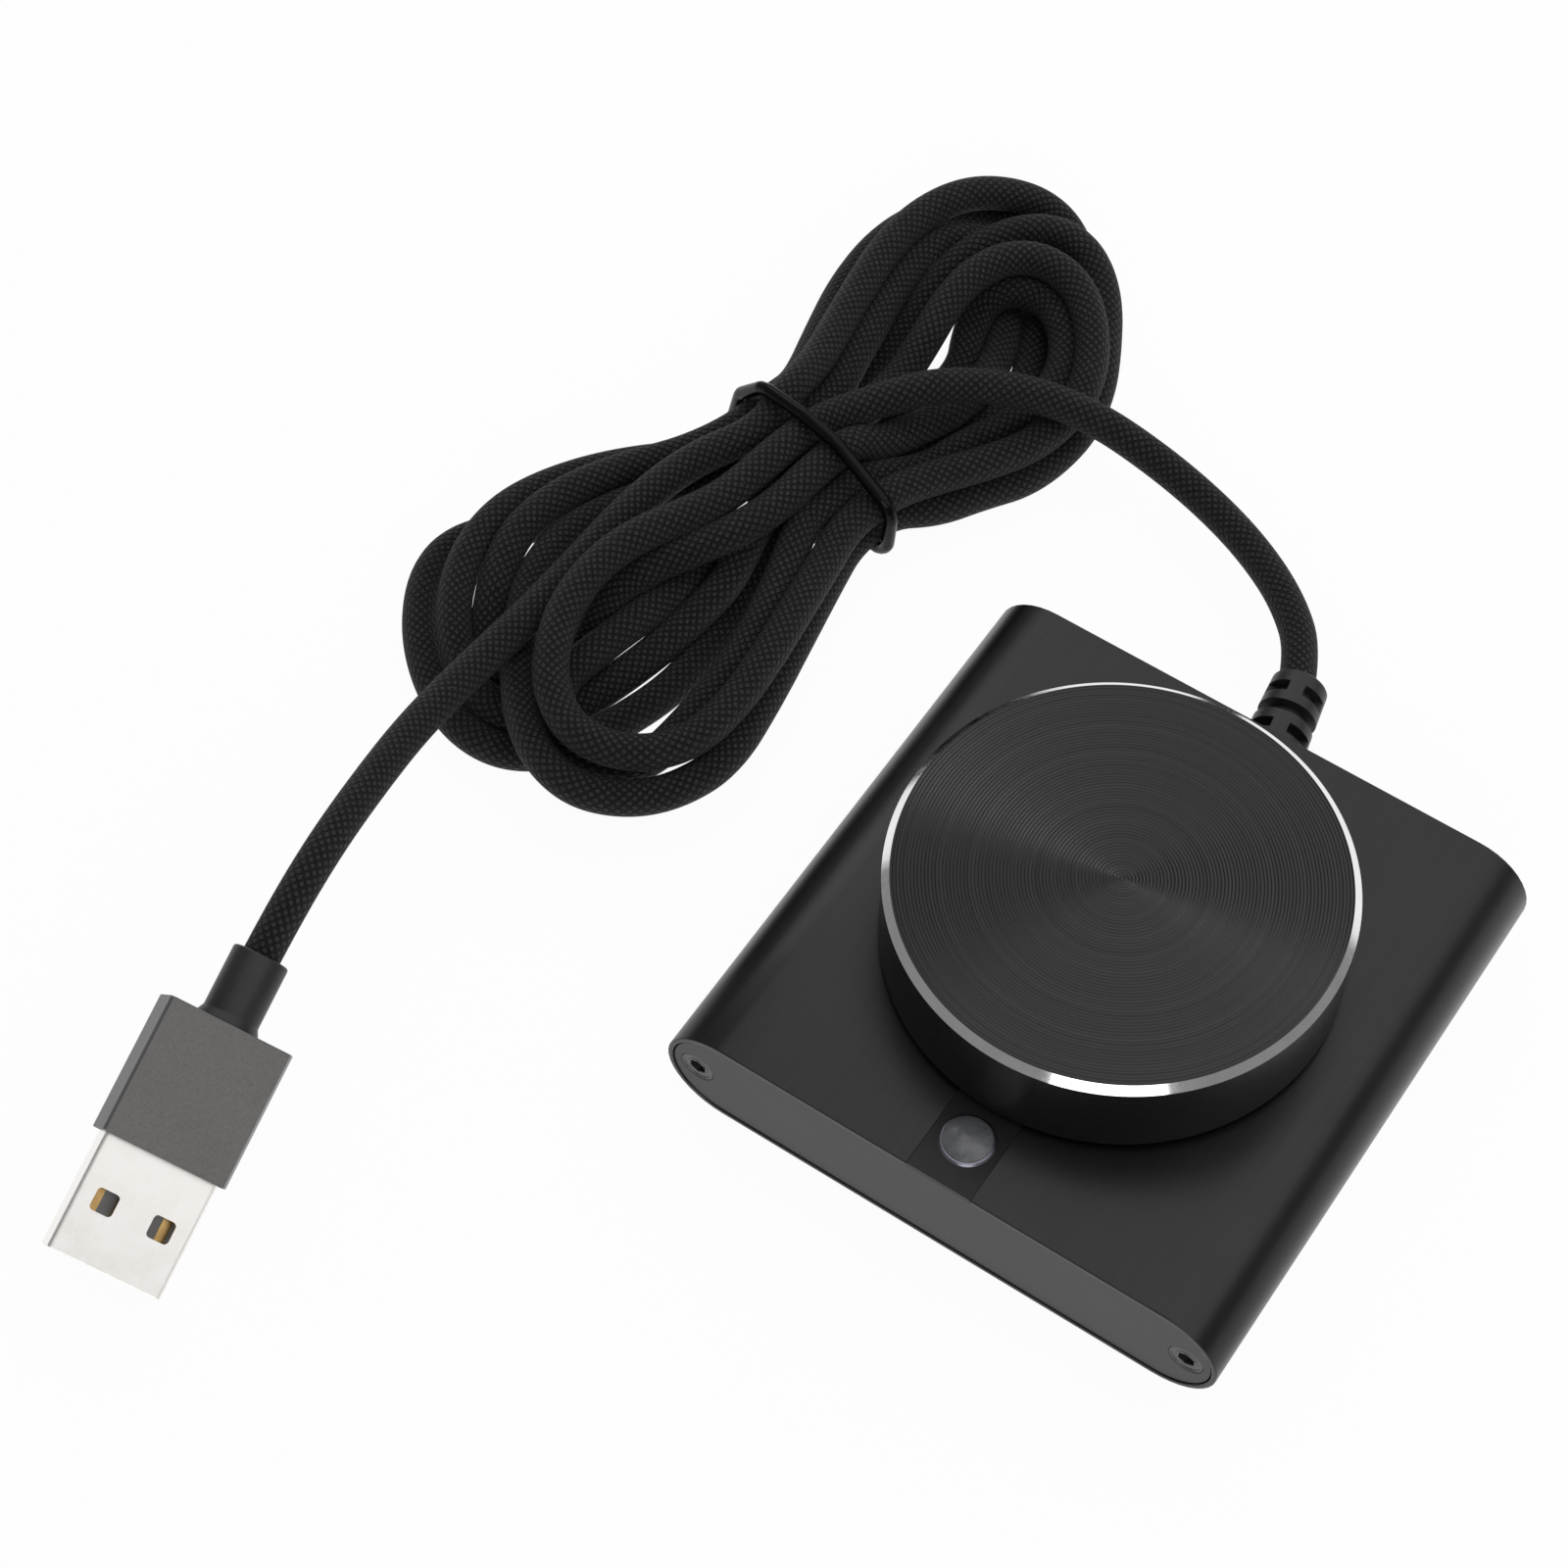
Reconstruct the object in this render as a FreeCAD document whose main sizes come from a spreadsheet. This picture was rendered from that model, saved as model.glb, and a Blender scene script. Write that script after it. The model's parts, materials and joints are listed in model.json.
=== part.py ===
import FreeCAD, Part
import math
import os

import Sketcher
from FreeCAD import Placement, Rotation, Vector

# A desk volume knob with a USB lead, in millimetres.  X runs to the right along the front,
# Y to the back and Z up.  The origin is on the desk under the middle of the flat case.

SIZES = {
    # Case: an extruded oval tube with a plate let into each end.
    "BodyWidth": 62.0,
    "BodyDepth": 61.6,
    "BodyHeight": 12.8,
    "WallThick": 1.5,
    "RimThick": 0.6,
    "PlateThick": 1.6,
    "PlateInset": 0.15,
    "PlateGap": 0.15,
    "FootHeight": 1.0,
    "FootRadius": 4.0,
    "FootSide": 10.0,
    "FootEnd": 7.8,
    "FitGap": 0.05,
    # Countersunk end screws.
    "ScrewEdge": 3.4,
    "ScrewRadius": 1.0,
    "ScrewLength": 6.0,
    "HeadRadius": 1.95,
    "HeadDepth": 0.95,
    "SocketRadius": 0.75,
    "SocketDepth": 0.7,
    "BossRadius": 2.2,
    "ThreadGap": 0.03,
    # Circuit board and what stands on it.
    "BoardSide": 9.0,
    "BoardFrontEnd": 2.6,
    "BoardRearEnd": 9.0,
    "BoardThick": 1.6,
    "RailInset": 4.0,
    "RailWidth": 1.6,
    "ChipLength": 9.9,
    "ChipWidth": 3.9,
    "ChipHeight": 1.5,
    "ChipSide": 9.0,
    "ChipSet": 13.2,
    "LeadPitch": 1.27,
    "LedLength": 3.5,
    "LedWidth": 2.8,
    "LedHeight": 1.9,
    "HeaderLength": 9.8,
    "HeaderWidth": 4.6,
    "HeaderHeight": 4.4,
    "HeaderWall": 0.6,
    "HeaderSet": 14.2,
    "WireRadius": 0.45,
    "WirePitch": 2.0,
    "WireSpread": 0.75,
    "WireEnd": 0.3,
    # Light: a moulded slide let into the top, with a domed lens.
    "InsertWidth": 7.2,
    "InsertLength": 14.0,
    "InsertLip": 1.2,
    "LipThick": 0.7,
    "LensRadius": 2.5,
    "LensRise": 0.9,
    "LensSet": 5.2,
    "LensFlange": 3.3,
    "LensFlangeThick": 0.7,
    "LensStem": 1.6,
    "LensStandoff": 0.4,
    # Rotary encoder with a push switch.
    "KnobAlong": 0.9,
    "EncoderSide": 11.7,
    "EncoderHeight": 6.5,
    "BracketThick": 0.3,
    "BracketWidth": 5.0,
    "BracketDrop": 5.7,
    "LegWidth": 2.0,
    "PinWidth": 0.8,
    "PinThick": 0.3,
    "PinPitch": 2.5,
    "PinReach": 7.0,
    "PinClear": 0.3,
    "BushPlate": 1.7,
    "BushRadius": 3.5,
    "BushRise": 5.0,
    "BaseFloor": 0.5,
    "DomePocket": 3.2,
    "DomeRadius": 2.9,
    "DomeHeight": 0.45,
    "DomeSheet": 0.15,
    "PocketDepth": 1.1,
    "RotorCavity": 5.0,
    "RotorRadius": 4.8,
    "RotorSkirt": 3.4,
    "RotorWeb": 1.55,
    "SpringThick": 0.15,
    "SpringInner": 3.95,
    "PlungerRadius": 2.8,
    "PlungerThick": 0.55,
    "PipRadius": 0.7,
    "PipHeight": 0.15,
    "PressTravel": 0.5,
    "ShaftRadius": 3.0,
    "ShaftFlat": 1.5,
    "CollarRadius": 3.75,
    "CollarThick": 0.65,
    "DriveRadius": 2.2,
    "DriveFlat": 1.6,
    "RunGap": 0.05,
    "WasherRadius": 5.5,
    "WasherThick": 0.5,
    "NutFlats": 10.0,
    "NutThick": 2.0,
    # Knob: a turned metal cap with a moulded core.
    "KnobRadius": 22.9,
    "KnobHeight": 10.8,
    "KnobGap": 0.7,
    "KnobWall": 1.4,
    "KnobTop": 2.0,
    "KnobChamfer": 0.75,
    "KnobEdge": 0.3,
    "CoreWall": 1.2,
    "CoreWeb": 1.7,
    "CoreRise": 1.2,
    "HubRadius": 5.5,
    "HubClear": 0.35,
    "ShaftSpare": 0.4,
    "ClipThick": 0.45,
    "ClipHeight": 1.0,
    "ClipDepth": 0.35,
    # Strain relief on the rear plate.
    "BootAcross": 1.0,
    "BootLean": 10.0,
    "BootLength": 11.5,
    "BootRadius": 3.45,
    "BootEndRadius": 2.7,
    "BootCore": 2.3,
    "BootSlot": 1.2,
    "BootPitch": 2.55,
    "BootSlotWidth": 2.6,
    "NeckRadius": 2.5,
    "FlangeRadius": 3.8,
    "FlangeThick": 1.4,
    "StubLength": 2.0,
    # Cord, hank and the loop that ties it.
    "CordRadius": 1.85,
    "TieRadius": 0.65,
    "TieGap": 0.1,
    "TieAcross": -59.2,
    "TieAlong": 37.3,
    "TieTurn": -12.6,
    "HankNeck": 11.0,
    "HankTop": 10.9,
    "HankLift": 0.05,
    # Plug.
    "PlugAcross": -64.4,
    "PlugAlong": -68.0,
    "PlugUp": 8.6,
    "PlugYaw": -83.3,
    "PlugPitch": 19.0,
    "PlugRoll": -28.9,
    "ShellWidth": 12.0,
    "ShellHeight": 4.5,
    "ShellLength": 12.0,
    "ShellSheet": 0.3,
    "ShellRoot": 3.0,
    "WindowSide": 2.3,
    "WindowAcross": 3.0,
    "WindowBack": 6.0,
    "TongueThick": 1.9,
    "TongueShort": 0.8,
    "ContactWidth": 1.0,
    "ContactThick": 0.15,
    "ContactLength": 8.0,
    "ContactPitch": 2.4,
    "GripWidth": 13.1,
    "GripHeight": 7.3,
    "GripLength": 14.2,
    "GripChamfer": 0.5,
    "SleeveRadius": 2.9,
    "SleeveLength": 7.4,
    "SleeveFlare": 0.4,
    "SleeveBore": 2.2,
    "BoreDepth": 3.0,
}

# Where the hank's outer shape is cut across: place along Y, middle in X, half width, height.
HANK_SECTIONS = (
    (-11.6, -58.0, 3.3, 5.6),
    (-10.2, -59.6, 8.0, 6.6),
    (-7.5, -62.8, 14.5, 7.8),
    (-3.0, -65.2, 19.4, 8.8),
    (3.0, -66.6, 21.8, 9.3),
    (9.0, -67.4, 22.4, 9.5),
    (16.0, -67.0, 20.6, 9.6),
    (23.0, -65.4, 17.6, 9.8),
    (29.5, -62.8, 14.2, 10.2),
    (46.0, -55.6, 13.6, 10.0),
    (53.0, -54.6, 16.2, 9.6),
    (61.0, -55.2, 17.6, 9.7),
    (68.0, -56.4, 17.0, 9.6),
    (74.5, -57.6, 15.0, 8.8),
    (80.0, -58.7, 11.4, 7.4),
    (84.0, -59.3, 6.8, 6.0),
    (85.8, -59.5, 3.2, 5.0),
)

# Corners of the two free runs of the cord, picked by hand.  The first run starts in the
# strain relief and ends in the hank, the second starts in the hank and ends in the plug.
LEAD_CORNERS = (
    (-2.7, 45.4, 6.7),
    (-7.6, 50.8, 5.9),
    (-14.0, 55.0, 5.2),
    (-21.2, 58.0, 4.8),
    (-29.1, 59.4, 5.5),
    (-37.0, 58.8, 8.1),
    (-44.9, 56.3, 9.6),
    (-52.0, 51.6, 10.0),
    (-57.6, 45.1, 9.7),
    (-61.0, 38.6, 8.8),
)
TAIL_CORNERS = (
    (-64.9, 35.8, 8.7),
    (-69.7, 28.3, 9.6),
    (-71.7, 19.6, 9.8),
    (-71.8, 10.7, 9.8),
    (-72.1, 1.8, 9.8),
    (-72.2, -7.4, 10.3),
    (-71.9, -16.6, 12.3),
    (-70.4, -25.7, 15.0),
    (-68.6, -35.2, 17.4),
)
SLEEVE_RUN = 6.9
CORD_SEAT = 3.0

# Small parts on the board: hand, inset from that side of the board, place from its front edge
# (or, when less than nothing, from its rear edge), then length, width and height.
SMALL_PARTS = (
    (-1, 6.0, 20.7, 2.0, 1.25, 0.6),
    (-1, 6.0, 23.2, 2.0, 1.25, 0.6),
    (-1, 6.0, 25.7, 2.0, 1.25, 0.9),
    (-1, 14.0, 6.2, 1.6, 0.8, 0.5),
    (1, 14.0, 6.2, 1.6, 0.8, 0.5),
    (1, 8.0, -13.8, 3.2, 1.6, 1.1),
    (-1, 8.0, -13.8, 5.0, 3.2, 1.3),
    (1, 7.0, -5.8, 3.5, 2.8, 1.9),
)
CHIP_LEADS = 7

# Which place in the plug each wire goes to, by its place in the cord.
WIRE_PLACES = (0, 2, 3, 1)


class Size:
    """A length or angle: the formula that the spreadsheet works out, and its number."""

    def __init__(self, text, number):
        self.text = text
        self.number = number

    def __add__(self, other):
        other = as_size(other)
        return Size(f"({self.text} + {other.text})", self.number + other.number)

    def __sub__(self, other):
        other = as_size(other)
        return Size(f"({self.text} - {other.text})", self.number - other.number)

    def __mul__(self, other):
        other = as_size(other)
        return Size(f"({self.text} * {other.text})", self.number * other.number)

    def __truediv__(self, other):
        other = as_size(other)
        return Size(f"({self.text} / {other.text})", self.number / other.number)

    def __radd__(self, other):
        return as_size(other) + self

    def __rsub__(self, other):
        return as_size(other) - self

    def __rmul__(self, other):
        return as_size(other) * self

    def __neg__(self):
        return as_size(0.0) - self


class Sheet:
    """The spreadsheet of driving sizes, read back as sizes by their names."""

    def __init__(self, doc, sizes):
        self.sizes = sizes
        page = doc.addObject("Spreadsheet::Sheet", "Sizes")
        for row, (alias, value) in enumerate(sizes.items(), start=1):
            page.set(f"A{row}", alias)
            page.set(f"B{row}", str(value))
            page.setAlias(f"B{row}", alias)

    def __getattr__(self, alias):
        return Size(f"Sizes.{alias}", self.sizes[alias])


def as_size(value):
    """Return the value as a Size."""
    return value if isinstance(value, Size) else Size(repr(float(value)), float(value))


DOC = FreeCAD.newDocument("VolumeKnob")
S = Sheet(DOC, SIZES)
DOC.recompute()
NODES = []

# Levels and places that several parts share.
CASE_TOP = S.FootHeight + S.BodyHeight
CASE_MID = S.FootHeight + S.BodyHeight / 2
CEILING = CASE_TOP - S.WallThick
FLOOR = S.FootHeight + S.WallThick
BOARD_TOP = CEILING - S.EncoderHeight
BOARD_LOW = BOARD_TOP - S.BoardThick
PLATE_SEAT = S.PlateThick + S.PlateInset
SCREW_ACROSS = S.BodyWidth / 2 - S.ScrewEdge
BOARD_HALF = S.BodyWidth / 2 - S.BoardSide
BOARD_FRONT = S.BoardFrontEnd - S.BodyDepth / 2
BOARD_REAR = S.BodyDepth / 2 - S.BoardRearEnd
RAIL_ACROSS = BOARD_HALF - S.RailInset
LENS_ALONG = S.LensSet - S.BodyDepth / 2
PIN_LOW = FLOOR + S.PinClear
TUBE_LENGTH = S.BodyDepth - 2 * PLATE_SEAT
REAR_FACE = S.BodyDepth / 2 - S.PlateInset
BRACKET_LOW = CEILING - S.BracketThick
BASE_TOP = BRACKET_LOW - S.BushPlate
BUSH_TOP = CEILING + S.BushRise
DOME_SEAT = BOARD_TOP + S.BaseFloor
CAVITY_FLOOR = DOME_SEAT + S.PocketDepth
ROTOR_LOW = CAVITY_FLOOR + 2 * S.RunGap
ROTOR_TOP = BASE_TOP - S.SpringThick - 2 * S.RunGap
PIP_LOW = DOME_SEAT + S.DomeHeight + S.PressTravel + S.RunGap
DISC_LOW = PIP_LOW + S.PipHeight
SHAFT_LOW = DISC_LOW + S.PlungerThick
COLLAR_TOP = BASE_TOP + S.RunGap + S.PressTravel + S.CollarThick
KNOB_BASE = CASE_TOP + S.KnobGap
KNOB_CEILING = KNOB_BASE + S.KnobHeight - S.KnobTop
SHAFT_TOP = KNOB_CEILING - S.ShaftSpare
HUB_LOW = BUSH_TOP + S.PressTravel + S.HubClear
CAP_BORE = S.KnobRadius - S.KnobWall


def bind(thing, name, value):
    """Bind one property of an object to a size."""
    thing.setExpression(name, as_size(value).text)


def place(thing, x, y, z):
    """Bind the place of an object."""
    bind(thing, "Placement.Base.x", x)
    bind(thing, "Placement.Base.y", y)
    bind(thing, "Placement.Base.z", z)


def box(x, y, z, length, width, height):
    """Make a box from its low corner."""
    thing = DOC.addObject("Part::Box", "Block")
    bind(thing, "Length", length)
    bind(thing, "Width", width)
    bind(thing, "Height", height)
    place(thing, x, y, z)
    return thing


def slab(x, y, z, length, width, height):
    """Make a box that is centred on x and y and stands on z."""
    return box(x - as_size(length) / 2, y - as_size(width) / 2, z, length, width, height)


AXES = {
    "up": Rotation(),
    "back": Rotation(Vector(1, 0, 0), -90),
    "front": Rotation(Vector(1, 0, 0), 90),
    "right": Rotation(Vector(0, 1, 0), 90),
    "left": Rotation(Vector(0, 1, 0), -90),
}


def rod(x, y, z, radius, length, way="up"):
    """Make a cylinder that starts at a point and runs one way."""
    thing = DOC.addObject("Part::Cylinder", "Rod")
    bind(thing, "Radius", radius)
    bind(thing, "Height", length)
    thing.Placement = Placement(Vector(), AXES[way])
    place(thing, x, y, z)
    return thing


def cone(x, y, z, first, last, length, way="up"):
    """Make a cone or taper that starts at a point and runs one way."""
    thing = DOC.addObject("Part::Cone", "Taper")
    bind(thing, "Radius1", first)
    bind(thing, "Radius2", last)
    bind(thing, "Height", length)
    thing.Placement = Placement(Vector(), AXES[way])
    place(thing, x, y, z)
    return thing


def prism(x, y, z, radius, length, way="up"):
    """Make a six-sided bar that starts at a point and runs one way."""
    thing = DOC.addObject("Part::Prism", "Hexagon")
    thing.Polygon = 6
    bind(thing, "Circumradius", radius)
    bind(thing, "Height", length)
    thing.Placement = Placement(Vector(), AXES[way])
    place(thing, x, y, z)
    return thing


def fuse(*shapes):
    """Join shapes, or group them where they stand apart."""
    thing = DOC.addObject("Part::MultiFuse", "Joined")
    thing.Shapes = list(shapes)
    return thing


def cut(base, *tools):
    """Take tools away from a base."""
    thing = DOC.addObject("Part::Cut", "Cut")
    thing.Base = base
    thing.Tool = tools[0] if len(tools) == 1 else fuse(*tools)
    return thing


def common(first, second):
    """Keep what two shapes share."""
    thing = DOC.addObject("Part::Common", "Shared")
    thing.Base = first
    thing.Tool = second
    return thing


def ring(x, y, z, outer, inner, length, way="up"):
    """Make a flat ring or a tube."""
    return cut(rod(x, y, z, outer, length, way), rod(x, y, z, inner, length, way))


def flat_rod(x, y, z, radius, flat, length):
    """Make an upright rod with one flat, which faces the back."""
    keep = box(x - radius, y - radius, z, 2 * radius, radius + flat, length)
    return common(rod(x, y, z, radius, length), keep)


def node(thing, label):
    """Give a finished sub-part the name of its file."""
    thing.Label = label
    NODES.append(thing)
    return thing


def new_body(label):
    """Start a sub-part that is built feature by feature."""
    return node(DOC.addObject("PartDesign::Body", "Body"), label)


def sketch_on(body, role, lift=0.0):
    """Attach a sketch to one of the body's own planes, lifted along its normal."""
    plane = next(item for item in body.Origin.OriginFeatures if item.Role == role)
    sketch = body.newObject("Sketcher::SketchObject", "Sketch")
    sketch.AttachmentSupport = [(plane, "")]
    sketch.MapMode = "FlatFace"
    bind(sketch, "AttachmentOffset.Base.z", lift)
    return sketch


def hold(sketch, edge, point, x, y):
    """Hold a point of an edge at its distances from the origin."""
    for kind, value, axis in (("DistanceX", as_size(x), -2), ("DistanceY", as_size(y), -1)):
        if value.text == "0.0":
            sketch.addConstraint(Sketcher.Constraint("PointOnObject", edge, point, axis))
        else:
            rule = Sketcher.Constraint(kind, -1, 1, edge, point, value.number)
            index = sketch.addConstraint(rule)
            bind(sketch, f"Constraints[{index}]", value)


def draw_outline(sketch, corners):
    """Draw a closed outline of straight lines through the corners."""
    spots = [Vector(as_size(x).number, as_size(y).number, 0) for x, y in corners]
    lines = [
        sketch.addGeometry(Part.LineSegment(spot, spots[(index + 1) % len(spots)]), False)
        for index, spot in enumerate(spots)
    ]
    for index, line in enumerate(lines):
        following = lines[(index + 1) % len(lines)]
        sketch.addConstraint(Sketcher.Constraint("Coincident", line, 2, following, 1))
    for line, (x, y) in zip(lines, corners):
        hold(sketch, line, 1, x, y)


def draw_circle(sketch, x, y, radius):
    """Draw a circle."""
    centre = Vector(as_size(x).number, as_size(y).number, 0)
    circle = sketch.addGeometry(Part.Circle(centre, Vector(0, 0, 1), radius.number), False)
    index = sketch.addConstraint(Sketcher.Constraint("Radius", circle, radius.number))
    bind(sketch, f"Constraints[{index}]", radius)
    hold(sketch, circle, 3, x, y)


def draw_stadium(sketch, half_width, radius, middle):
    """Draw an oval with flat top and bottom and half-round ends."""
    reach = half_width - radius
    normal = Vector(0, 0, 1)
    quarter = math.pi / 2
    far, rise, size = reach.number, middle.number, radius.number
    left = Part.Circle(Vector(-far, rise, 0), normal, size)
    right = Part.Circle(Vector(far, rise, 0), normal, size)
    edges = [
        Part.ArcOfCircle(left, quarter, 3 * quarter),
        Part.LineSegment(Vector(-far, rise - size, 0), Vector(far, rise - size, 0)),
        Part.ArcOfCircle(right, -quarter, quarter),
        Part.LineSegment(Vector(far, rise + size, 0), Vector(-far, rise + size, 0)),
    ]
    ids = [sketch.addGeometry(edge, False) for edge in edges]
    for index, edge in enumerate(ids):
        sketch.addConstraint(Sketcher.Constraint("Tangent", edge, 2, ids[(index + 1) % 4], 1))
    index = sketch.addConstraint(Sketcher.Constraint("Radius", ids[0], size))
    bind(sketch, f"Constraints[{index}]", radius)
    sketch.addConstraint(Sketcher.Constraint("Equal", ids[0], ids[2]))
    hold(sketch, ids[0], 3, -reach, middle)
    hold(sketch, ids[2], 3, reach, middle)


def pad(body, sketch, length, side="One side", flip=False):
    """Pad a sketch."""
    feature = body.newObject("PartDesign::Pad", "Pad")
    feature.Profile = sketch
    feature.SideType = side
    feature.Reversed = flip
    bind(feature, "Length", length)
    return feature


def pocket(body, sketch, length, side="One side", flip=False):
    """Cut a pocket, and check that it takes something away."""
    DOC.recompute()
    before = body.Shape.Volume
    feature = body.newObject("PartDesign::Pocket", "Pocket")
    feature.Profile = sketch
    feature.SideType = side
    feature.Reversed = flip
    bind(feature, "Length", length)
    DOC.recompute()
    if body.Shape.Volume >= before:
        raise ValueError(f"a pocket in {body.Label} cuts nothing")
    return feature


def revolve(body, sketch):
    """Turn a sketch once round its upright axis."""
    feature = body.newObject("PartDesign::Revolution", "Turn")
    feature.Profile = sketch
    feature.ReferenceAxis = (sketch, ["V_Axis"])
    feature.Angle = 360.0
    return feature


def make_housing_shell():
    """The extruded tube, with screw channels, board rails and its machined openings."""
    body = new_body("housing_shell")
    tube = sketch_on(body, "XZ_Plane")
    radius = S.BodyHeight / 2
    draw_stadium(tube, S.BodyWidth / 2, radius, CASE_MID)
    draw_stadium(tube, S.BodyWidth / 2 - S.WallThick, radius - S.WallThick, CASE_MID)
    pad(body, tube, S.BodyDepth, "Symmetric")
    for side in (-1, 1):
        channel = sketch_on(body, "XZ_Plane")
        draw_circle(channel, side * SCREW_ACROSS, CASE_MID, S.BossRadius)
        pad(body, channel, TUBE_LENGTH, "Symmetric")
        rail = sketch_on(body, "XZ_Plane")
        inner = side * (RAIL_ACROSS - S.RailWidth / 2)
        outer = side * (RAIL_ACROSS + S.RailWidth / 2)
        low = FLOOR - S.WallThick / 2
        draw_outline(rail, [(inner, low), (outer, low), (outer, BOARD_LOW), (inner, BOARD_LOW)])
        pad(body, rail, TUBE_LENGTH, "Symmetric")
    for side in (-1, 1):
        seat = sketch_on(body, "XZ_Plane", -side * S.BodyDepth / 2)
        draw_stadium(seat, S.BodyWidth / 2 - S.RimThick, radius - S.RimThick, CASE_MID)
        pocket(body, seat, PLATE_SEAT, flip=side > 0)
        bore = sketch_on(body, "XZ_Plane")
        draw_circle(bore, side * SCREW_ACROSS, CASE_MID, S.ScrewRadius + S.ThreadGap)
        pocket(body, bore, S.BodyDepth, "Symmetric")
    hole = sketch_on(body, "XY_Plane", CASE_TOP)
    draw_circle(hole, 0.0, S.KnobAlong, S.BushRadius + 2 * S.RunGap)
    pocket(body, hole, 2 * S.WallThick)
    notch = sketch_on(body, "XY_Plane", CASE_TOP)
    half = S.InsertWidth / 2
    front = -S.BodyDepth / 2
    end = front + S.InsertLength
    draw_outline(notch, [(-half, front), (half, front), (half, end), (-half, end)])
    pocket(body, notch, 2 * S.WallThick)


def make_end_plate(label, side, cord_hole):
    """One oval end plate with two countersunk holes, and the hole for the strain relief."""
    body = new_body(label)
    inset = S.RimThick + S.PlateGap
    outline = sketch_on(body, "XZ_Plane", -side * REAR_FACE)
    draw_stadium(outline, S.BodyWidth / 2 - inset, S.BodyHeight / 2 - inset, CASE_MID)
    pad(body, outline, S.PlateThick, flip=side < 0)
    holes = sketch_on(body, "XZ_Plane", -side * REAR_FACE)
    for across in (-1, 1):
        draw_circle(holes, across * SCREW_ACROSS, CASE_MID, S.HeadRadius + S.ThreadGap)
    DOC.recompute()
    sinks = body.newObject("PartDesign::Hole", "Hole")
    sinks.Profile = holes
    sinks.Reversed = side > 0
    sinks.DepthType = "ThroughAll"
    bind(sinks, "Diameter", 2 * (S.ScrewRadius + S.ThreadGap))
    sinks.HoleCutType = "Countersink"
    sinks.HoleCutCustomValues = True
    bind(sinks, "HoleCutDiameter", 2 * (S.HeadRadius + S.ThreadGap))
    sinks.HoleCutCountersinkAngle = 90.0
    if cord_hole:
        opening = sketch_on(body, "XZ_Plane", -side * REAR_FACE)
        draw_circle(opening, S.BootAcross, CASE_MID, S.NeckRadius + S.FitGap)
        pocket(body, opening, 2 * S.PlateThick, flip=side > 0)


def make_screws(label, side):
    """The two countersunk screws of one end plate, as one group."""
    way = "back" if side < 0 else "front"
    face = side * REAR_FACE
    screws = []
    for across in (-SCREW_ACROSS, SCREW_ACROSS):
        head = cone(across, face, CASE_MID, S.HeadRadius, S.ScrewRadius, S.HeadDepth, way)
        shank = rod(across, face, CASE_MID, S.ScrewRadius, S.ScrewLength, way)
        socket = prism(across, face, CASE_MID, S.SocketRadius, S.SocketDepth, way)
        screws.append(cut(fuse(head, shank), socket))
    node(fuse(*screws), label)


def make_feet():
    """Four round rubber feet."""
    reach = S.BodyDepth / 2 - S.FootEnd
    spread = S.BodyWidth / 2 - S.FootSide
    for row, along in (("front", -reach), ("rear", reach)):
        for hand, across in (("left", -spread), ("right", spread)):
            foot = rod(across, along, 0.0, S.FootRadius, S.FootHeight)
            node(foot, f"foot_{row}_{hand}")


def make_light_insert():
    """The moulded slide that fills the notch, with a lip under the top wall."""
    front = -S.BodyDepth / 2
    width = S.InsertWidth - 2 * S.FitGap
    thick = S.WallThick + S.FitGap
    strip = slab(0.0, front + (S.InsertLength - S.FitGap) / 2, CASE_TOP - thick, width,
                 S.InsertLength - S.FitGap, thick)
    lip_front = front + PLATE_SEAT + S.FitGap
    lip_width = width + 2 * S.InsertLip
    lip_top = CEILING - S.FitGap
    lip = slab(0.0, lip_front + S.InsertLength / 2, lip_top - S.LipThick, lip_width,
               S.InsertLength, S.LipThick)
    step = slab(0.0, front + (PLATE_SEAT + S.FitGap) / 2, CEILING - S.WallThick, 2 * S.InsertWidth,
                PLATE_SEAT + S.FitGap, 2 * S.WallThick - S.RimThick - S.PlateGap + S.FitGap)
    bore = rod(0.0, LENS_ALONG, CEILING - S.WallThick, S.LensRadius + S.FitGap,
               3 * S.WallThick)
    node(cut(fuse(strip, lip), step, bore), "light_insert")


def make_light_lens():
    """The domed lens, with a flange under the slide and a stem down to the light."""
    dome_radius = (S.LensRadius * S.LensRadius + S.LensRise * S.LensRise) / (2 * S.LensRise)
    ball = DOC.addObject("Part::Sphere", "Ball")
    bind(ball, "Radius", dome_radius)
    place(ball, 0.0, LENS_ALONG, CASE_TOP + S.LensRise - dome_radius)
    flange_top = CEILING - 2 * S.FitGap - S.LipThick
    flange_low = flange_top - S.LensFlangeThick
    head = rod(0.0, LENS_ALONG, flange_low, S.LensRadius, CASE_TOP + S.LensRise - flange_low)
    flange = rod(0.0, LENS_ALONG, flange_low, S.LensFlange, S.LensFlangeThick)
    stem_low = BOARD_TOP + S.LedHeight + S.LensStandoff
    stem = rod(0.0, LENS_ALONG, stem_low, S.LensStem, flange_top - stem_low)
    node(fuse(common(head, ball), flange, stem), "light_lens")


def make_main_board():
    """The circuit board, with the holes for the encoder's pins and legs."""
    board = box(-BOARD_HALF, BOARD_FRONT, BOARD_LOW, 2 * BOARD_HALF, BOARD_REAR - BOARD_FRONT,
                S.BoardThick)
    radius = (S.PinWidth + S.PinThick) / 2
    holes = [rod(x, y, BOARD_LOW, radius, S.BoardThick) for x, y in pin_places()]
    slot = S.BracketThick + 4 * S.FitGap
    for side in (-1, 1):
        middle = side * (S.EncoderSide / 2 + S.FitGap + S.BracketThick / 2)
        holes.append(slab(middle, S.KnobAlong, BOARD_LOW, slot, S.LegWidth + 4 * S.FitGap,
                          S.BoardThick))
    node(cut(board, *holes), "main_board")


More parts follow.
